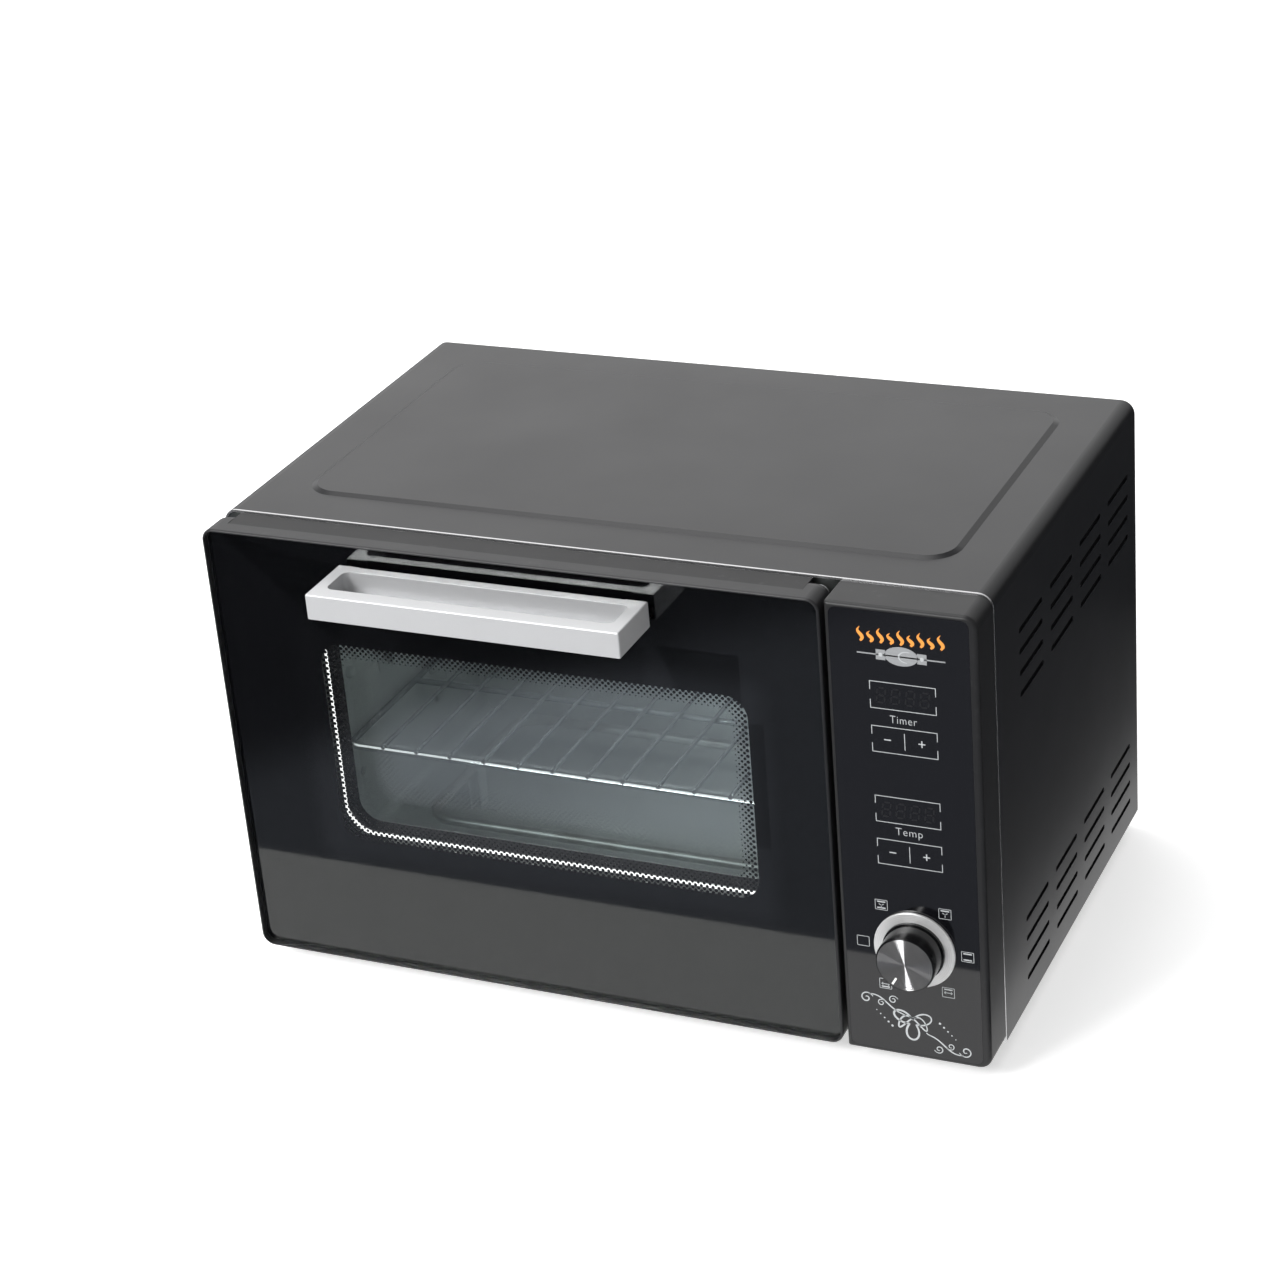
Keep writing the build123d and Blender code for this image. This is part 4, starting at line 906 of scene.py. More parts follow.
class Repeater(TreeBook):
    """A geometry node tree that repeats a shape and is baked to one mesh."""

    def __init__(self, name: str) -> None:
        """Makes an empty tree of that name."""
        self.group = bpy.data.node_groups.new(name, "GeometryNodeTree")
        super().__init__(self.group)
        self.group.interface.new_socket("Shape", in_out="INPUT", socket_type="NodeSocketGeometry")
        self.group.interface.new_socket("Result", in_out="OUTPUT", socket_type="NodeSocketGeometry")
        self.sizes: dict[str, tuple[str, Any]] = {}
        self.entry = self.add("NodeGroupInput")

    def size(self, name: str, value: Union[int, float, Sequence[float]]) -> Sig:
        """A named input of the tree and the value that this object gives it."""
        kind = {int: "NodeSocketInt", float: "NodeSocketFloat"}.get(type(value), "NodeSocketVector")
        socket = self.group.interface.new_socket(name, in_out="INPUT", socket_type=kind)
        self.sizes[name] = (socket.identifier, value)
        return self.sig(self.entry, name)

    def place(self) -> tuple[Sig, Sig, Sig]:
        """The three coordinates of each point."""
        return self.split(self.sig(self.add("GeometryNodeInputPosition")))

    def line(self, count: Sig, pitch: Sig, start: Sig) -> Sig:
        """Points in a row, from a start to the right."""
        sockets = {"Count": count, "Start Location": start, "Offset": self.join(pitch, 0.0, 0.0)}
        return self.sig(self.add("GeometryNodeMeshLine", None, sockets))

    def scatter(self, points: Sig, shape: Sig, scale: Union[Sig, Colour] = (1.0, 1.0, 1.0)) -> Sig:
        """A copy of the shape at each point."""
        sockets = {"Points": points, "Instance": shape, "Scale": scale}
        return self.sig(self.add("GeometryNodeInstanceOnPoints", None, sockets))

    def bake(
        self, shape: bpy.types.Mesh | None, result: Sig, material: bpy.types.Material
    ) -> bpy.types.Mesh:
        """Ends the tree, runs it on a shape and returns the plain mesh.

        Args:
            shape: the mesh that the tree gets, or None.
            result: the geometry to realise.
            material: what the result is made of.

        Returns:
            The evaluated mesh.
        """
        real = self.add("GeometryNodeRealizeInstances", None, {0: result})
        sockets = {"Geometry": self.sig(real), "Material": material}
        painted = self.add("GeometryNodeSetMaterial", None, sockets)
        self.add("NodeGroupOutput", None, {0: self.sig(painted)})
        holder = linked("holder", shape or bpy.data.meshes.new("holder"))
        modifier = holder.modifiers.new("repeat", "NODES")
        modifier.node_group = self.group
        for identifier, value in self.sizes.values():
            modifier[identifier] = value
        return evaluated(holder)


# ---------------------------------------------------------------- sub-assemblies


@dataclass
class Casing:
    """The folded case with its floor, back, feet and screws."""

    shop: Shop
    bare_edge_mm: float = 1.25

    def dress(self) -> None:
        """Finishes the case's CAD nodes."""
        dress = self.shop.dress
        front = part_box("outer_case")[0].y
        paint = CoatedSteel("satin_case_paint", bare_before=front + self.bare_edge_mm * MM)
        dress(paint, "outer_case", "back_cover")
        zinc = RolledSteel("zinc_plate", (0.50, 0.50, 0.47), (0.36, 0.36, 0.34), 0.36, spangle=0.5)
        dress(zinc, "base_plate")
        dress(RolledSteel("bulkhead_steel", (0.34, 0.35, 0.35), (0.24, 0.25, 0.25), 0.34), "front_frame")
        screw = PlatedWire("screw_steel", (0.55, 0.54, 0.52), 0.26)
        dress(screw, "foot_screws", "base_screws", "back_screws")
        dark_moulded = MouldedPlastic("foot_rubber", (0.016, 0.016, 0.017), 0.68, 0.6, 0.03, 0.3)
        dress(dark_moulded, *(f"foot_{i}" for i in (1, 2, 3, 4)))

    def build_louvre_shades(self) -> None:
        """A near-black sheet behind the louvres of each side wall: painted shade seen through the slots."""
        lo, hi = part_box("outer_case")
        y0, y1, z0, z1 = lo.y + 18 * MM, hi.y - 8 * MM, lo.z + 11 * MM, hi.z - 24 * MM
        # a near-black sheet standing in for the shade behind the louvres
        shade_sheet = MouldedPlastic("louvre_shade_sheet", (0.006, 0.006, 0.0065), 0.8, 0.7, 0.03, 0.2)
        for name, wall, way in (("left", lo.x, 1.0), ("right", hi.x, -1.0)):
            near, far = (wall + way * mm * MM for mm in (1.15, 1.45))
            bm = bmesh.new()
            bmesh.ops.create_cube(bm, size=1.0)
            for v in bm.verts:
                ends = zip(v.co, (near, y0, z0), (far, y1, z1))
                v.co = Vector([low if c < 0 else high for c, low, high in ends])
            bmesh.ops.recalc_face_normals(bm, faces=bm.faces)
            mesh = bpy.data.meshes.new("shade_mesh")
            bm.to_mesh(mesh)
            bm.free()
            self.shop.finish_piece(mesh, f"louvre_shade_{name}", shade_sheet, Body.ROOT, "frame_steel")


@dataclass
class CookingSpace:
    """The pressed liner with its rack, heaters and spit drive."""

    shop: Shop
    rod_count: int = 13
    rod_pitch: float = 23.8 * MM
    bead_radius: float = 2.5 * MM

    def dress(self) -> None:
        """Finishes the cavity's CAD nodes."""
        dress = self.shop.dress
        pale, grey = (0.69, 0.715, 0.71), (0.61, 0.63, 0.625)
        liner = RolledSteel("liner_steel", pale, grey, 0.34, (1.0, 1.0, 10.0), 0.4)
        dress(liner, "cavity", "heater_clips", "spit_support")
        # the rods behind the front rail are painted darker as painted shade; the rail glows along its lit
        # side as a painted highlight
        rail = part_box("wire_rack")[0].y + 3.2 * MM
        dress(PlatedWire("rack_wire", shaded_behind=rail, glint=1.3), "wire_rack")
        dress(PlatedWire("rivet_plate"), "cavity_rivets", "spit_coupling")
        dress(HeaterSheath("heater_sheath"), "lower_heater", "upper_heater")
        dress(Ceramic("bush_ceramic"), "heater_insulators")
        zinc = RolledSteel("bracket_zinc", (0.52, 0.52, 0.49), (0.38, 0.38, 0.36), 0.36, spangle=0.4)
        dress(zinc, "motor_bracket", "spit_motor", "motor_shaft", "motor_screws")
        dress(zinc, "temperature_sensor", "thermal_cutout")

    def build_beads(self) -> None:
        """Weld beads where the rods cross the rack's front rail."""
        lo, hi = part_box("wire_rack")
        rail = Vector(((lo.x + hi.x) / 2, lo.y + 2 * MM, 0.0))
        rods_z = self.rod_height()
        book = Repeater("weld_beads")
        count = book.size("Count", self.rod_count)
        pitch = book.size("Pitch", self.rod_pitch)
        radius = book.size("Radius", self.bead_radius)
        start = book.size("Middle", (rail.x, rail.y, rods_z))
        x, y, z = book.split(start)
        line = book.line(count, pitch, book.join(x - (count - 1.0) * pitch / 2, y, z))
        ball = book.add("GeometryNodeMeshIcoSphere", None, {"Radius": radius, "Subdivisions": 3})
        smooth = book.add("GeometryNodeSetShadeSmooth", None, {0: book.sig(ball)})
        beads = book.scatter(line, book.sig(smooth), (0.6, 0.8, 0.6))
        # the beads glow along their lit side as a painted highlight
        wire = PlatedWire("weld_bead", rough=0.2, glint=1.4, lit_from=0.7)
        mesh = book.bake(None, beads, self.shop.palette.material(wire))
        self.shop.finish_piece(mesh, "rack_weld_beads", wire, Body.RACK, "chrome_wire")

    def rod_height(self) -> float:
        """The height of the rack's rail line, at its front."""
        lo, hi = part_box("wire_rack")
        return hi.z - 2.4 * MM if hi.z - lo.z < 0.02 else (lo.z + hi.z) / 2


@dataclass
class DoorWindow:
    """The door with its two panes, the print on the outer pane and its handle."""

    shop: Shop
    window: tuple[float, float, float, float] = (68.6, 342.0, 85.5, 217.5)  # x0 x1 z0 z1
    clear: tuple[float, float, float, float] = (82.4, 332.9, 99.5, 209.5)
    corner_mm: float = 14.0
    pitch_mm: tuple[float, float] = (3.7, 1.85)
    dot_mm: tuple[float, float] = (0.42, 1.22)  # smallest and largest radius
    print_gap_mm: float = 0.06
    strip_out_mm: float = 8.6  # the dark strip's outer edge, outside the printed window
    strip_wide_mm: float = 8.2
    bead_mm: float = 2.0

    def dress(self) -> None:
        """Finishes the door's CAD nodes."""
        dress = self.shop.dress
        dress(MouldedPlastic("door_moulding", (0.017, 0.017, 0.0185), 0.40), "door_bezel")
        dress(MouldedPlastic("door_inlay", (0.013, 0.013, 0.014), 0.52), "door_top_strip")
        outer = ClearPane("outer_pane", (0.985, 0.992, 0.988), 0.055, bare=self.opening())
        dress(outer, "door_glass")
        dress(ClearPane("inner_pane", (0.94, 0.975, 0.98), 0.26), "door_inner_glass")
        pale, grey = (0.66, 0.68, 0.68), (0.52, 0.54, 0.54)
        jamb = RolledSteel("door_pan_steel", pale, grey, 0.34, (14.0, 1.0, 1.0), 0.4)
        dress(jamb, "door_inner_panel", "glass_clips")
        dress(SatinAluminium("handle_satin"), "handle")
        zinc = PlatedWire("door_screw_steel", (0.55, 0.54, 0.52), 0.26)
        dress(zinc, "handle_bolts", "door_screws", "hinge_pins", "hinge_screws")
        dress(RolledSteel("hinge_steel", (0.5, 0.5, 0.48)), "hinge_arm_left", "hinge_arm_right")

    def opening(self, grow: float = 0.0) -> tuple[float, float, float, float]:
        """The printed window's x0 x1 z0 z1 in metres, grown by some millimetres."""
        x0, x1, z0, z1 = self.window
        (x0, z0), (x1, z1) = self.shop.at(x0 - grow, z0 - grow), self.shop.at(x1 + grow, z1 + grow)
        return x0, x1, z0, z1

    def build_border(self) -> None:
        """The black print on the back of the outer pane, open at the window."""
        lo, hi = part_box("door_glass")
        relief = Relief(hi.y + self.print_gap_mm * MM, self.print_gap_mm)
        edge = 0.3 * MM
        outer = rounded(lo.x + edge, hi.x - edge, lo.z + edge, hi.z - edge, 6 * MM)
        relief.ladder(rounded(*self.opening(), self.corner_mm * MM), outer, closed=True)
        gloss = GlossSheet("pane_print", Tone.BLACK.value, 0.035, 1.0)
        self.shop.finish_piece(relief.mesh(), "pane_border_print", gloss, Body.DOOR, "black_glass")

    def build_trim(self) -> None:
        """A dark strip on the inner pane's edge, and round it a bright bead that glows as a painted
        highlight.
        """
        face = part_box("door_inner_glass")[0].y
        out, wide = self.strip_out_mm, self.strip_wide_mm

        def ring(grow: float) -> list[Point]:
            """The window's outline, grown and moved to where the inner pane's opening is."""
            return rounded(*self.opening(grow), (self.corner_mm + grow * 0.5) * MM)

        # a dark strip on the inner pane's edge, round the window
        dark_strip = Relief(face, 0.6)
        dark_strip.ladder(ring(out - wide), ring(out), closed=True)
        dark_moulded = MouldedPlastic("pane_dark_strip", (0.045, 0.045, 0.048), 0.5, 0.5, 0.01, 0.4)
        self.shop.finish_piece(dark_strip.mesh(), "inner_pane_dark_strip", dark_moulded, Body.DOOR, "moulded_black")
        bead = Relief(face, 1.4)
        bead.ladder(ring(out), ring(out + self.bead_mm), closed=True)
        # the bead glows along its lit side: a painted highlight round the window's edge
        bright = PlatedWire("bead_painted_highlight", rough=0.16, glint=1.5, lit_from=0.45)
        self.shop.finish_piece(bead.mesh(), "inner_pane_bead", bright, Body.DOOR, "chrome_wire")

    def build_dots(self) -> None:
        """Dots that shrink from the printed border to the clear middle of the window."""
        w, c = self.window, self.clear
        middle = [(w[0] + w[1]) / 2, (w[2] + w[3]) / 2]
        x, z = self.shop.at(*middle)
        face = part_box("door_glass")[1].y + self.print_gap_mm * MM / 2
        book = Repeater("window_dots")
        wide = book.size("Width", (w[1] - w[0]) * MM)
        tall = book.size("Height", (w[3] - w[2]) * MM)
        corner = book.size("Corner", self.corner_mm * MM)
        clear_w = book.size("Clear Width", (c[1] - c[0]) * MM)
        clear_h = book.size("Clear Height", (c[3] - c[2]) * MM)
        off_u = book.size("Clear Offset X", ((c[0] + c[1]) / 2 - middle[0]) * MM)
        off_v = book.size("Clear Offset Z", ((c[2] + c[3]) / 2 - middle[1]) * MM)
        pitch_u = book.size("Pitch X", self.pitch_mm[0] * MM)
        pitch_v = book.size("Pitch Z", self.pitch_mm[1] * MM)
        small = book.size("Smallest Dot", self.dot_mm[0] * MM)
        large = book.size("Largest Dot", self.dot_mm[1] * MM)
        centre = book.size("Centre", (x, face, z))
        across = (wide / pitch_u).math("ROUND") + 1.0
        up = (tall / pitch_v).math("ROUND") + 1.0
        sizes = {"Size X": (across - 1.0) * pitch_u, "Size Y": (up - 1.0) * pitch_v}
        grid = book.add("GeometryNodeMeshGrid", None, {**sizes, "Vertices X": across, "Vertices Y": up})
        u, v, _ = book.place()
        row = (v / pitch_v + 1000.25).math("FLOOR")
        odd = row.math("MODULO", 2.0)
        shift = {"Geometry": book.sig(grid), "Offset": book.join(odd * pitch_u / 2, 0.0, 0.0)}
        moved = book.add("GeometryNodeSetPosition", None, shift)
        u, v, _ = book.place()
        outside = book.round_box(u, v, wide / 2, tall / 2, corner)
        within = book.round_box(u - off_u, v - off_v, clear_w / 2, clear_h / 2, corner * 0.7)
        drop = (outside.above(-0.0002) + within.below(0.0)).above(0.5)
        unwanted = {"Geometry": book.sig(moved), "Selection": drop}
        kept = book.add("GeometryNodeDeleteGeometry", {"domain": "POINT"}, unwanted)
        share = (within / (within - outside)).clamped()
        disc = book.add("GeometryNodeMeshCircle", {"fill_type": "NGON"}, {"Vertices": 12, "Radius": 1.0})
        dots = book.scatter(book.sig(kept), book.sig(disc), share ** 0.75 * (large - small) + small)
        upright = {"Geometry": dots, "Translation": centre, "Rotation": (math.pi / 2, 0.0, 0.0)}
        turned = book.add("GeometryNodeTransform", None, upright)
        ink = GlossSheet("dot_print", Tone.BLACK.value, 0.12, 0.4)
        mesh = book.bake(None, book.sig(turned), self.shop.palette.material(ink))
        self.shop.finish_piece(mesh, "pane_dot_print", ink, Body.DOOR, "black_glass")


@dataclass
class ControlColumn:
    """The column right of the door: its overlay, prints, displays and the electrics behind it."""

    shop: Shop
    line_mm: float = 0.42
    thick_mm: float = 0.05
    display_half: Point = (18.9, 8.2)
    key_half: Point = (18.9, 8.05)
    middle_x: float = 436.3
    display_z: Point = (232.5, 161.05)
    key_z: Point = (205.15, 133.6)
    words: tuple[tuple[str, float, float, float], ...] = (  # each with x0 x1 and its base line
        ("Timer", 428.3, 443.9, 216.1),
        ("Temp", 428.6, 444.4, 145.6),
    )
    spit_z: float = 257.4
    fork_x: Point = (424.6, 448.2)
    icon_half: Point = (3.6, 3.2)
    scroll_at: Point = (433.5, 21.8)
    cap_height: float = 4.6
    # the silver print glows faintly: painted light
    ink: Ink = Ink("silver_ink", Tone.SILVER.value, glow=0.06)

    def dress(self) -> None:
        """Finishes the column's CAD nodes."""
        dress = self.shop.dress
        dress(MouldedPlastic("column_moulding", (0.014, 0.014, 0.015), 0.42), "control_panel")
        dress(GlossSheet("column_overlay"), "control_overlay")
        smoked = GlossSheet("display_window", (0.006, 0.006, 0.007), 0.08)
        dress(smoked, "timer_display", "temperature_display")
        dress(CircuitBoard("solder_mask"), "control_board", "power_board")
        spring = PlatedWire("contact_spring", (0.62, 0.48, 0.22), 0.25)
        dress(spring, "key_springs", "board_posts", "power_posts")
        dress(RolledSteel("switch_steel", (0.5, 0.5, 0.48)), "rotary_switch", "panel_screws")
        dress(MouldedPlastic("gland_nylon", (0.012, 0.012, 0.013), 0.5), "cord_gland")

    def mm(self, points: Sequence[Point]) -> list[Point]:
        """Turns millimetres off the casing's corner into metres."""
        return [self.shop.at(*p) for p in points]

    def relief(self) -> Relief:
        """A new print on the overlay's face."""
        return Relief(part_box("control_overlay")[0].y, self.thick_mm)

    def put(self, relief: Relief, name: str, ink: Ink | None = None) -> None:
        """Makes a print's piece, in the column's silver ink unless another is given."""
        self.shop.finish_piece(relief.mesh(), name, ink or self.ink, Body.ROOT, "pointer_white")

    def build_frames(self) -> None:
        """Corner brackets round the displays and key fields, and the marks on the keys."""
        relief, line = self.relief(), self.line_mm * MM
        for mid_z, (a, b), leg in (
            (self.display_z[0], self.display_half, 5.2),
            (self.display_z[1], self.display_half, 5.0),
            (self.key_z[0], self.key_half, 5.3),
            (self.key_z[1], self.key_half, 5.0),
        ):
            for side in (-1, 1):
                outline = ((-a, side * (b - leg)), (-a, side * b), (a, side * b), (a, side * (b - leg)))
                relief.stroke(self.mm([(self.middle_x + u, mid_z + v) for u, v in outline]), line)
        minus, plus = ((-12.0, 0.0), (-8.0, 0.0)), ((7.9, 0.0), (11.9, 0.0))
        halves = ((9.9, 0.36), (9.9, 2.05)), ((9.9, -2.05), (9.9, -0.36))  # the plus's upright, in two
        for mid_z in self.key_z:
            relief.stroke(self.mm([(self.middle_x, mid_z + 5.2), (self.middle_x, mid_z - 5.2)]), line)
            for ends in (minus, plus, *halves):
                relief.stroke(self.mm([(self.middle_x + u, mid_z + v) for u, v in ends]), 0.7 * MM)
        self.put(relief, "key_frame_print")

    def build_words(self) -> None:
        """The two plain function words."""
        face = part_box("control_overlay")[0].y
        for text, x0, x1, z0 in self.words:
            (a, z), (b, _) = self.mm([(x0, z0), (x1, z0)])
            mesh = word_mesh(text, a, b, z, self.cap_height * MM, face, self.thick_mm * MM)
            self.shop.finish_piece(mesh, f"{text.lower()}_word_print", self.ink, Body.ROOT, "pointer_white")

    def build_spit_sign(self) -> None:
        """A spit with a plain roast on it, under a row of orange flames."""
        relief = self.relief()
        relief.stroke(self.mm([(411.0, self.spit_z), (461.5, self.spit_z)]), 0.8 * MM)
        for x in self.fork_x:
            relief.stroke(self.mm([(x, 254.3), (x, 260.5)]), 5.4 * MM)
        relief.disc(self.shop.at(436.4, 257.6), 9.6 * MM, 0.6, 36)
        self.put(relief, "spit_sign_print", Ink("roast_ink", (0.34, 0.35, 0.36)))
        shine = Relief(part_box("control_overlay")[0].y - self.thick_mm * MM, self.thick_mm)
        arc = [math.radians(70 + 200 * k / 14) for k in range(15)]
        curve = [(439.6 + 4.6 * math.cos(t), self.spit_z + 3.3 * math.sin(t)) for t in arc]
        shine.stroke(self.mm(curve), [(0.35 + 0.5 * math.sin(math.pi * k / 14)) * MM for k in range(15)])
        for x in self.fork_x:
            shine.disc(self.shop.at(x, self.spit_z), 1.2 * MM, 1.0, 12)
        self.put(shine, "spit_sign_shine_print")
        flames = self.relief()
        for i in range(9):
            x = 413.2 + i * 5.75
            tall = 8.6 if i % 2 == 0 else 6.4
            path = [(x + 1.3 * math.sin(k / 12 * 2 * math.pi), 264.6 + tall * k / 12) for k in range(13)]
            swell = [math.sin(math.pi * min(1.0, k / 12 * 0.86 + 0.16)) for k in range(13)]
            widths = [(1.9 * share + 0.25) * MM for share in swell]
            flames.stroke(self.mm(path), widths)
        # the orange flames glow faintly: painted light
        self.put(flames, "flame_row_print", Ink("orange_ink", Tone.ORANGE.value, glow=0.08, metallic=0.0))

    def build_icons(self) -> None:
        """Six small pictograms round the knob: which heaters and fan are on."""
        relief, line = self.relief(), 0.32 * MM
        half_u, half_v = self.icon_half
        top, bottom = ((-2.5, 2.0), (2.5, 2.0)), ((-2.5, -2.0), (2.5, -2.0))
        shaft, tips = ((-2.4, -0.2), (2.4, -0.2)), ((0.0, -1.9), (-1.5, 0.9), (1.5, 0.9))
        blades = [((u * 0.2, v * 0.2 - 0.3), (u, v - 0.3)) for u, v in tips]
        heads = [((s * 1.5, 0.7), (s * 2.4, -0.2), (s * 1.5, -1.1)) for s in (-1, 1)]
        marks = {  # upper heater, lower heater, fan, spit; each with its line's width
            "t": ((top, 0.8),),
            "b": ((bottom, 0.8),),
            "Y": tuple((blade, 0.4) for blade in blades),
            "w": ((shaft, 0.4), *((head, 0.35) for head in heads)),
        }
        icons = (
            (405.8, 72.3, ""), (417.8, 98.2, "tbY"), (455.6, 98.4, "tY"),
            (468.1, 72.3, "tb"), (455.8, 46.4, "tw"), (418.1, 45.6, "bw"),
        )
        for x, z, signs in icons:
            frame = rounded(x - half_u, x + half_u, z - half_v, z + half_v, 0.3, 2)
            relief.stroke(self.mm(frame), line, closed=True)
            for points, wide in (mark for sign in signs for mark in marks[sign]):
                relief.stroke(self.mm([(x + u, z + v) for u, v in points]), wide * MM)
        self.put(relief, "knob_sign_print")

    def curl(self, middle: Point, start: float, turns: float, outer: float, inner: float) -> list[Point]:
        """A spiral's points, from its outer end inwards.

        Args:
            middle: its middle.
            start: angle of its outer end, in degrees.
            turns: turns that it makes; negative runs clockwise.
            outer: radius of its outer end.
            inner: radius of its inner end.

        Returns:
            The points.
        """
        count = max(12, int(abs(turns) * 30))
        out = []
        for i in range(count + 1):
            t = i / count
            r = outer + (inner - outer) * t ** 0.8
            a = math.radians(start) + turns * 2 * math.pi * t
            out.append((middle[0] + r * math.cos(a), middle[1] + r * math.sin(a)))
        return out

    def build_scroll(self) -> None:
        """A plain ornament of curls and beads below the knob."""
        relief, (mid_x, mid_z) = self.relief(), self.scroll_at
        strokes: list[tuple[list[Point], float]] = []
        petals = []
        for k in range(97):
            t = 2 * math.pi * k / 96
            r = 6.9 + 4.6 * math.cos(3 * t)
            petals.append((mid_x + r * math.cos(t + 0.5) * 1.1, mid_z + r * math.sin(t + 0.5)))
        strokes.append((petals, 0.95))
        lace = []
        for k in range(61):
            t = 2 * math.pi * k / 60
            lace.append((mid_x + 8.6 * math.cos(t + 0.4), mid_z + 4.2 * math.sin(2 * t)))
        strokes.append((lace, 0.8))
        for side in (-1, 1):
            def across(u: float, v: float) -> Point:
                """A place in the ornament's right half, or turned half round about its middle."""
                return mid_x + side * u + 2.0, mid_z - 0.8 + side * v

            tail = [
                across(6.0 + 22.0 * t, -4.5 - 11.5 * t ** 0.7 + 1.6 * math.sin(t * 6.3))
                for t in (k / 20 for k in range(21))
            ]
            strokes.append((tail, 0.7))
            curls = ((29.6, -13.0, 4.3, 0.6), (13.4, -14.3, 3.1, 0.5), (20.6, -11.2, 2.6, 0.45))
            for u, v, size, wide in curls:
                strokes.append(([across(a, b) for a, b in self.curl((u, v), 200.0, 1.3, size, 0.7)], wide))
            for k in range(5):
                u, v = across(14.5 + 2.3 * k, 3.4 - 2.3 * k)
                relief.disc(self.shop.at(u, v), (0.75 - 0.1 * k) * MM, 1.0, 12)
        for points, wide in strokes:
            n = len(points) - 1
            swell = [0.62 + 0.7 * math.sin(math.pi * min(1.0, 0.12 + 0.8 * i / n)) for i in range(n + 1)]
            widths = [wide * share * MM for share in swell]
            relief.stroke(self.mm(points), widths)
        self.put(relief, "scroll_print")

    def build_digits(self) -> None:
        """Unlit seven-part digits, four in each display."""
        for name, node in (("timer", "timer_display"), ("temperature", "temperature_display")):
            lo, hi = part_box(node)
            x, z = (lo.x + hi.x) / 2, (lo.z + hi.z) / 2
            relief = self.relief()
            w, h, lean = 2.35 * MM, 4.5 * MM, 0.12
            bars = [((-w, h), (w, h)), ((-w, 0.0), (w, 0.0)), ((-w, -h), (w, -h))]
            bars += [((s * w, k * h), (s * w, (k - 1) * h)) for s in (-1, 1) for k in (1, 0)]
            for (u0, v0), (u1, v1) in bars:
                ends = [Vector((u0 + v0 * lean, v0)), Vector((u1 + v1 * lean, v1))]
                run = (ends[1] - ends[0]).normalized() * 0.6 * MM
                points = [ends[0] + run, ends[0] + run * 1.8, ends[1] - run * 1.8, ends[1] - run]
                widths = [wide * MM for wide in (0.1, 0.95, 0.95, 0.1)]
                relief.stroke([(x + p.x, z + p.y) for p in points], widths)
            book = Repeater(f"{name}_digits")
            count = book.size("Count", 4)
            pitch = book.size("Pitch", 8.4 * MM)
            line = book.line(count, pitch, book.join((count - 1.0) * pitch * -0.5, 0.0, 0.0))
            row = book.scatter(line, book.sig(book.entry, "Shape"))
            # the unlit digits glow very faintly: painted light
            ink = Ink("unlit_digit", Tone.DIM.value, 0.3, 0.0, 0.2)
            mesh = book.bake(relief.mesh(), row, self.shop.palette.material(ink))
            self.shop.finish_piece(mesh, f"{name}_digit_print", ink, Body.ROOT, "pointer_white")


@dataclass
class Knob:
    """The large knob with its spun ring, cap and pointer."""

    shop: Shop

    def dress(self) -> None:
        """Finishes the knob's CAD nodes."""
        dress = self.shop.dress
        lo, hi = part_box("knob_cap")
        middle = ((lo.x + hi.x) / 2, (lo.z + hi.z) / 2)
        dress(MouldedPlastic("knob_black", (0.004, 0.004, 0.0045), 0.2, 0.5, 0.002), "knob_body")
        dress(SpunMetal("ring_spun", middle, (0.92, 0.92, 0.92), 0.2, 0.35, 0.34, 0.6), "knob_ring")
        cap = SpunMetal("cap_spun", middle, (0.26, 0.26, 0.265), 0.4, 0.66, 0.13, 1.0, 3.0)
        dress(cap, "knob_cap")
        # the white pointer glows faintly: painted light
        dress(Ink("pointer_enamel", (0.82, 0.82, 0.80), 0.35, 0.0, 0.1), "knob_pointer")
        dress(RolledSteel("shaft_steel", (0.5, 0.5, 0.48)), "knob_shaft")


# ---------------------------------------------------------------- studio


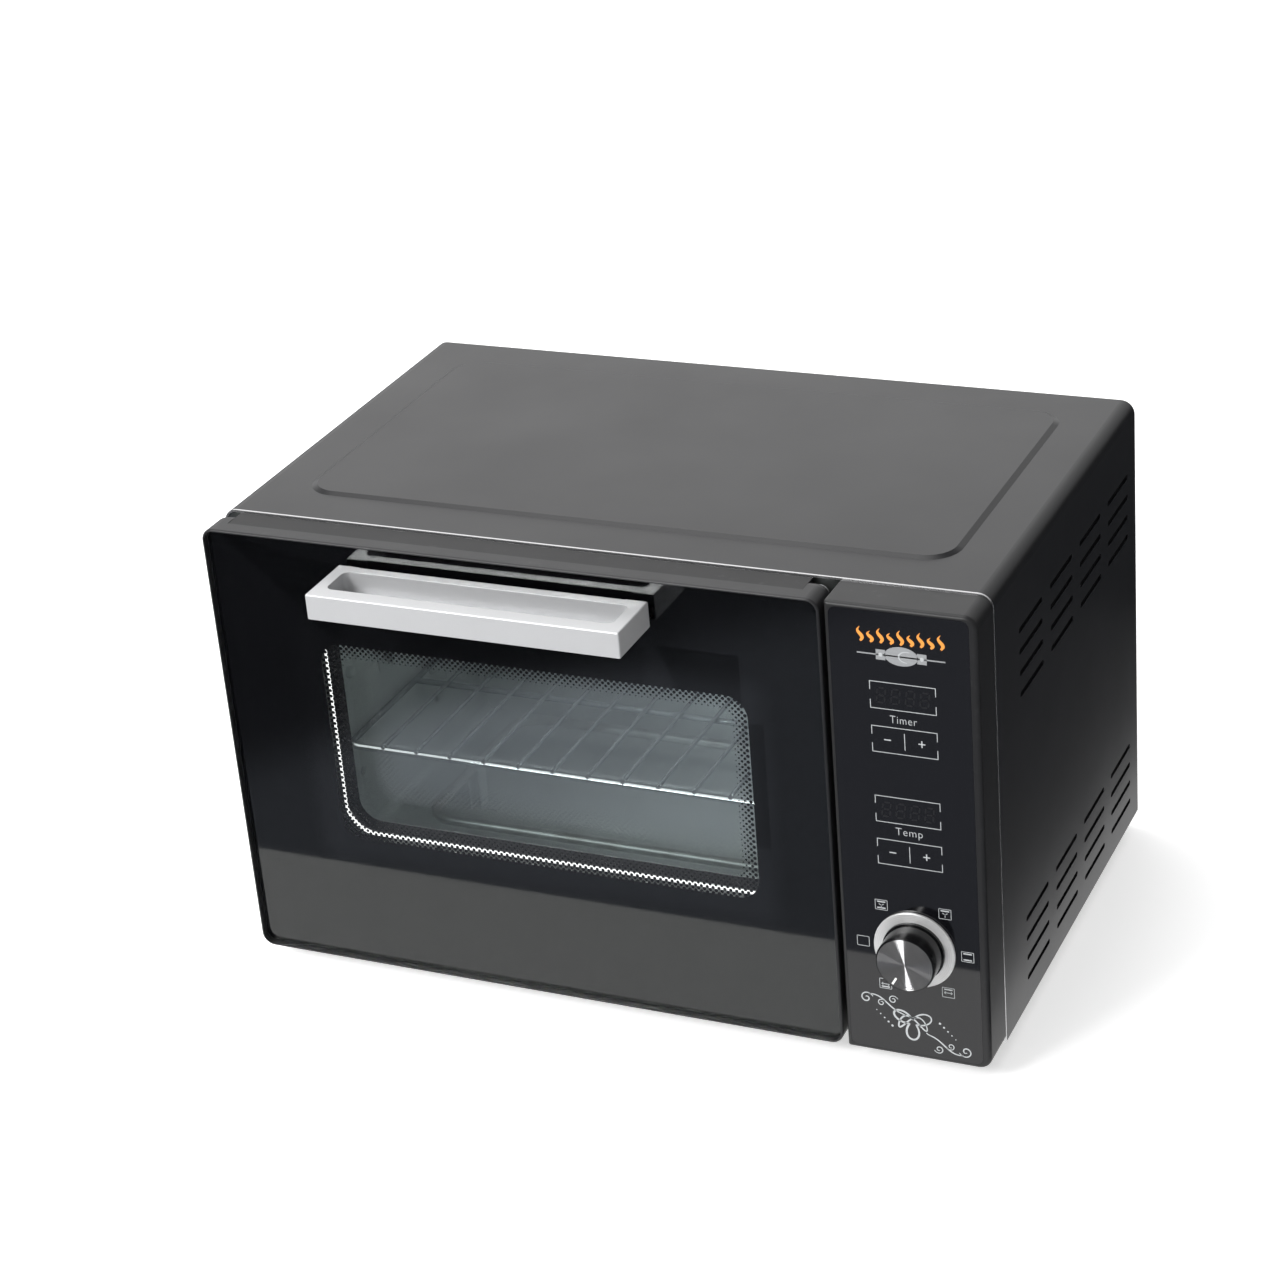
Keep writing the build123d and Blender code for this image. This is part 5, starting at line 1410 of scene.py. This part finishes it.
@dataclass
class Studio:
    """Floor, lights and camera."""

    azimuth: float = 25.8008
    elevation: float = 26.1793
    roll: float = -4.9424
    lens: float = 87.453
    eye: Colour = (0.72217, -1.54347, 1.02904)
    table_front: float = 0.113  # the table's edge, in front of the door
    table_right: float = 0.03
    sky: float = 1.12

    def build_camera(self) -> None:
        """The camera, at the object's usual three-quarter view."""
        a, e, r = (math.radians(v) for v in (self.azimuth, self.elevation, self.roll))
        back = Vector((math.sin(a) * math.cos(e), -math.cos(a) * math.cos(e), math.sin(e)))
        right = Vector((math.cos(a), math.sin(a), 0.0))
        up = back.cross(right)
        across = right * math.cos(r) + up * math.sin(r)
        rise = up * math.cos(r) - right * math.sin(r)
        data = bpy.data.cameras.new("studio_camera")
        data.lens, data.sensor_width = self.lens, 36.0
        camera = linked("studio_camera", data)
        turn = Matrix((across, rise, back)).transposed().to_4x4()
        camera.matrix_world = Matrix.Translation(self.eye) @ turn
        bpy.context.scene.camera = camera

    def slab(
        self, name: str, box: tuple[float, float, float, float], z: float, finish: Finish, palette: Palette
    ) -> bpy.types.Object:
        """A flat card of the studio; box is its x0 x1 y0 y1."""
        x0, x1, y0, y1 = box
        mesh = bpy.data.meshes.new(name)
        mesh.from_pydata([(x0, y0, z), (x1, y0, z), (x1, y1, z), (x0, y1, z)], [], [(0, 1, 2, 3)])
        mesh.materials.append(palette.material(finish))
        card = linked(name, mesh)
        card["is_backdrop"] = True
        return card

    def build_floor(self, palette: Palette) -> None:
        """A wide pale floor, and the bright table top that the gloss faces mirror."""
        lo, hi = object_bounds()
        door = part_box("door_glass")[0].y
        pale = FloorPaint("pale_floor")
        floor = self.slab("studio_floor", (-20.0, 20.0, -20.0, 20.0), lo.z - 0.0002, pale, palette)
        floor.visible_glossy = False
        board = FloorPaint("table_top", (0.05, 0.05, 0.05), 0.84)
        box = (lo.x - 0.6, hi.x + self.table_right, door - self.table_front, hi.y + 0.3)
        table = self.slab("studio_table", box, lo.z - 0.0004, board, palette)
        for kind in ("camera", "diffuse", "shadow", "transmission"):
            setattr(table, f"visible_{kind}", False)

    def build_world(self) -> None:
        """Even light from all round; mirrors see it only above the horizon."""
        world = bpy.data.worlds.new("studio_sky")
        world.use_nodes = True
        bpy.context.scene.world = world
        book = TreeBook(world.node_tree)
        book.tree.nodes.clear()
        way = book.sig(book.add("ShaderNodeTexCoord"), "Generated")
        x, y, z = book.split(way)
        path = book.add("ShaderNodeLightPath")
        glossy, seen = book.sig(path, "Is Glossy Ray"), book.sig(path, "Is Camera Ray")
        rise = book.step(z, 0.02, 0.12) * (1.0 - book.step(z, 0.35, 0.8) * 0.5)
        toward = book.step(y * 0.9 - x * 0.43, 0.45, 0.95)
        near = book.step(x * 0.163 - z, 0.374, 0.392) * book.step(0.0 - y, -0.05, 0.15) * 0.15 + 0.03
        mirrored = rise * (toward * 1.13 + 0.12) + (1.0 - book.step(z, -0.1, 0.0)) * near
        spread = 1.0 - book.step(x, -0.1, 0.7) * (1.0 - seen) * 0.85
        strength = spread + glossy * (mirrored - spread)
        hue = book.step(0.0 - z, 0.0, 0.2) * glossy
        tint = book.tint(hue, (1.0, 1.0, 1.0), (0.86, 0.92, 1.06))
        light = book.add("ShaderNodeBackground", None, {"Color": tint, "Strength": strength * self.sky})
        book.add("ShaderNodeOutputWorld", None, {"Surface": light.outputs[0]})

    def softbox(self, name: str, at: Colour, aim: Colour, size: Point, watts: float) -> bpy.types.Object:
        """A rectangular soft light."""
        data = bpy.data.lights.new(name, "AREA")
        data.shape, data.size, data.size_y, data.energy = "RECTANGLE", size[0], size[1], watts
        lamp = linked(name, data)
        lamp.location = at
        lamp.rotation_mode = "QUATERNION"
        lamp.rotation_quaternion = (Vector(aim) - Vector(at)).to_track_quat("-Z", "Y")
        return lamp

    def build_lights(self) -> None:
        """A big box overhead, a key light at the left front and a soft one that reaches into the oven."""
        self.softbox("overhead_box", (-0.5, 0.1, 1.9), (0.0, 0.0, 0.15), (1.6, 1.2), 15.0)
        self.softbox("key_box", (-0.86, -1.75, 1.36), (0.0, -0.1, 0.15), (0.8, 0.7), 33.0)
        lo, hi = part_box("cavity")
        middle = (lo + hi) / 2
        at, aim = (middle.x + 0.05, lo.y + 0.05, hi.z - 0.012), (middle.x + 0.06, middle.y, lo.z)
        fill = self.softbox("oven_fill", at, aim, (0.2, 0.05), 0.29)
        fill.visible_camera = fill.visible_glossy = False


def main() -> None:
    """Builds the studio, then each sub-assembly in order."""
    logging.basicConfig(level=logging.INFO, format="%(name)s: %(message)s")
    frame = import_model()
    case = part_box("outer_case")[0]
    palette = Palette()
    shop = Shop(frame, palette, Vector((case.x, case.y, case.z)))
    bpy.context.scene.view_settings.view_transform = "Standard"
    studio = Studio()
    studio.build_camera()
    studio.build_floor(palette)
    studio.build_world()
    studio.build_lights()
    casing = Casing(shop)
    casing.dress()
    casing.build_louvre_shades()
    cooking = CookingSpace(shop)
    cooking.dress()
    cooking.build_beads()
    door = DoorWindow(shop)
    door.dress()
    door.build_border()
    door.build_trim()
    door.build_dots()
    column = ControlColumn(shop)
    column.dress()
    for build in (
        column.build_frames, column.build_words, column.build_spit_sign,
        column.build_icons, column.build_scroll, column.build_digits,
    ):
        build()
    Knob(shop).dress()
    bpy.context.view_layer.update()


if __name__ == "__main__":
    main()
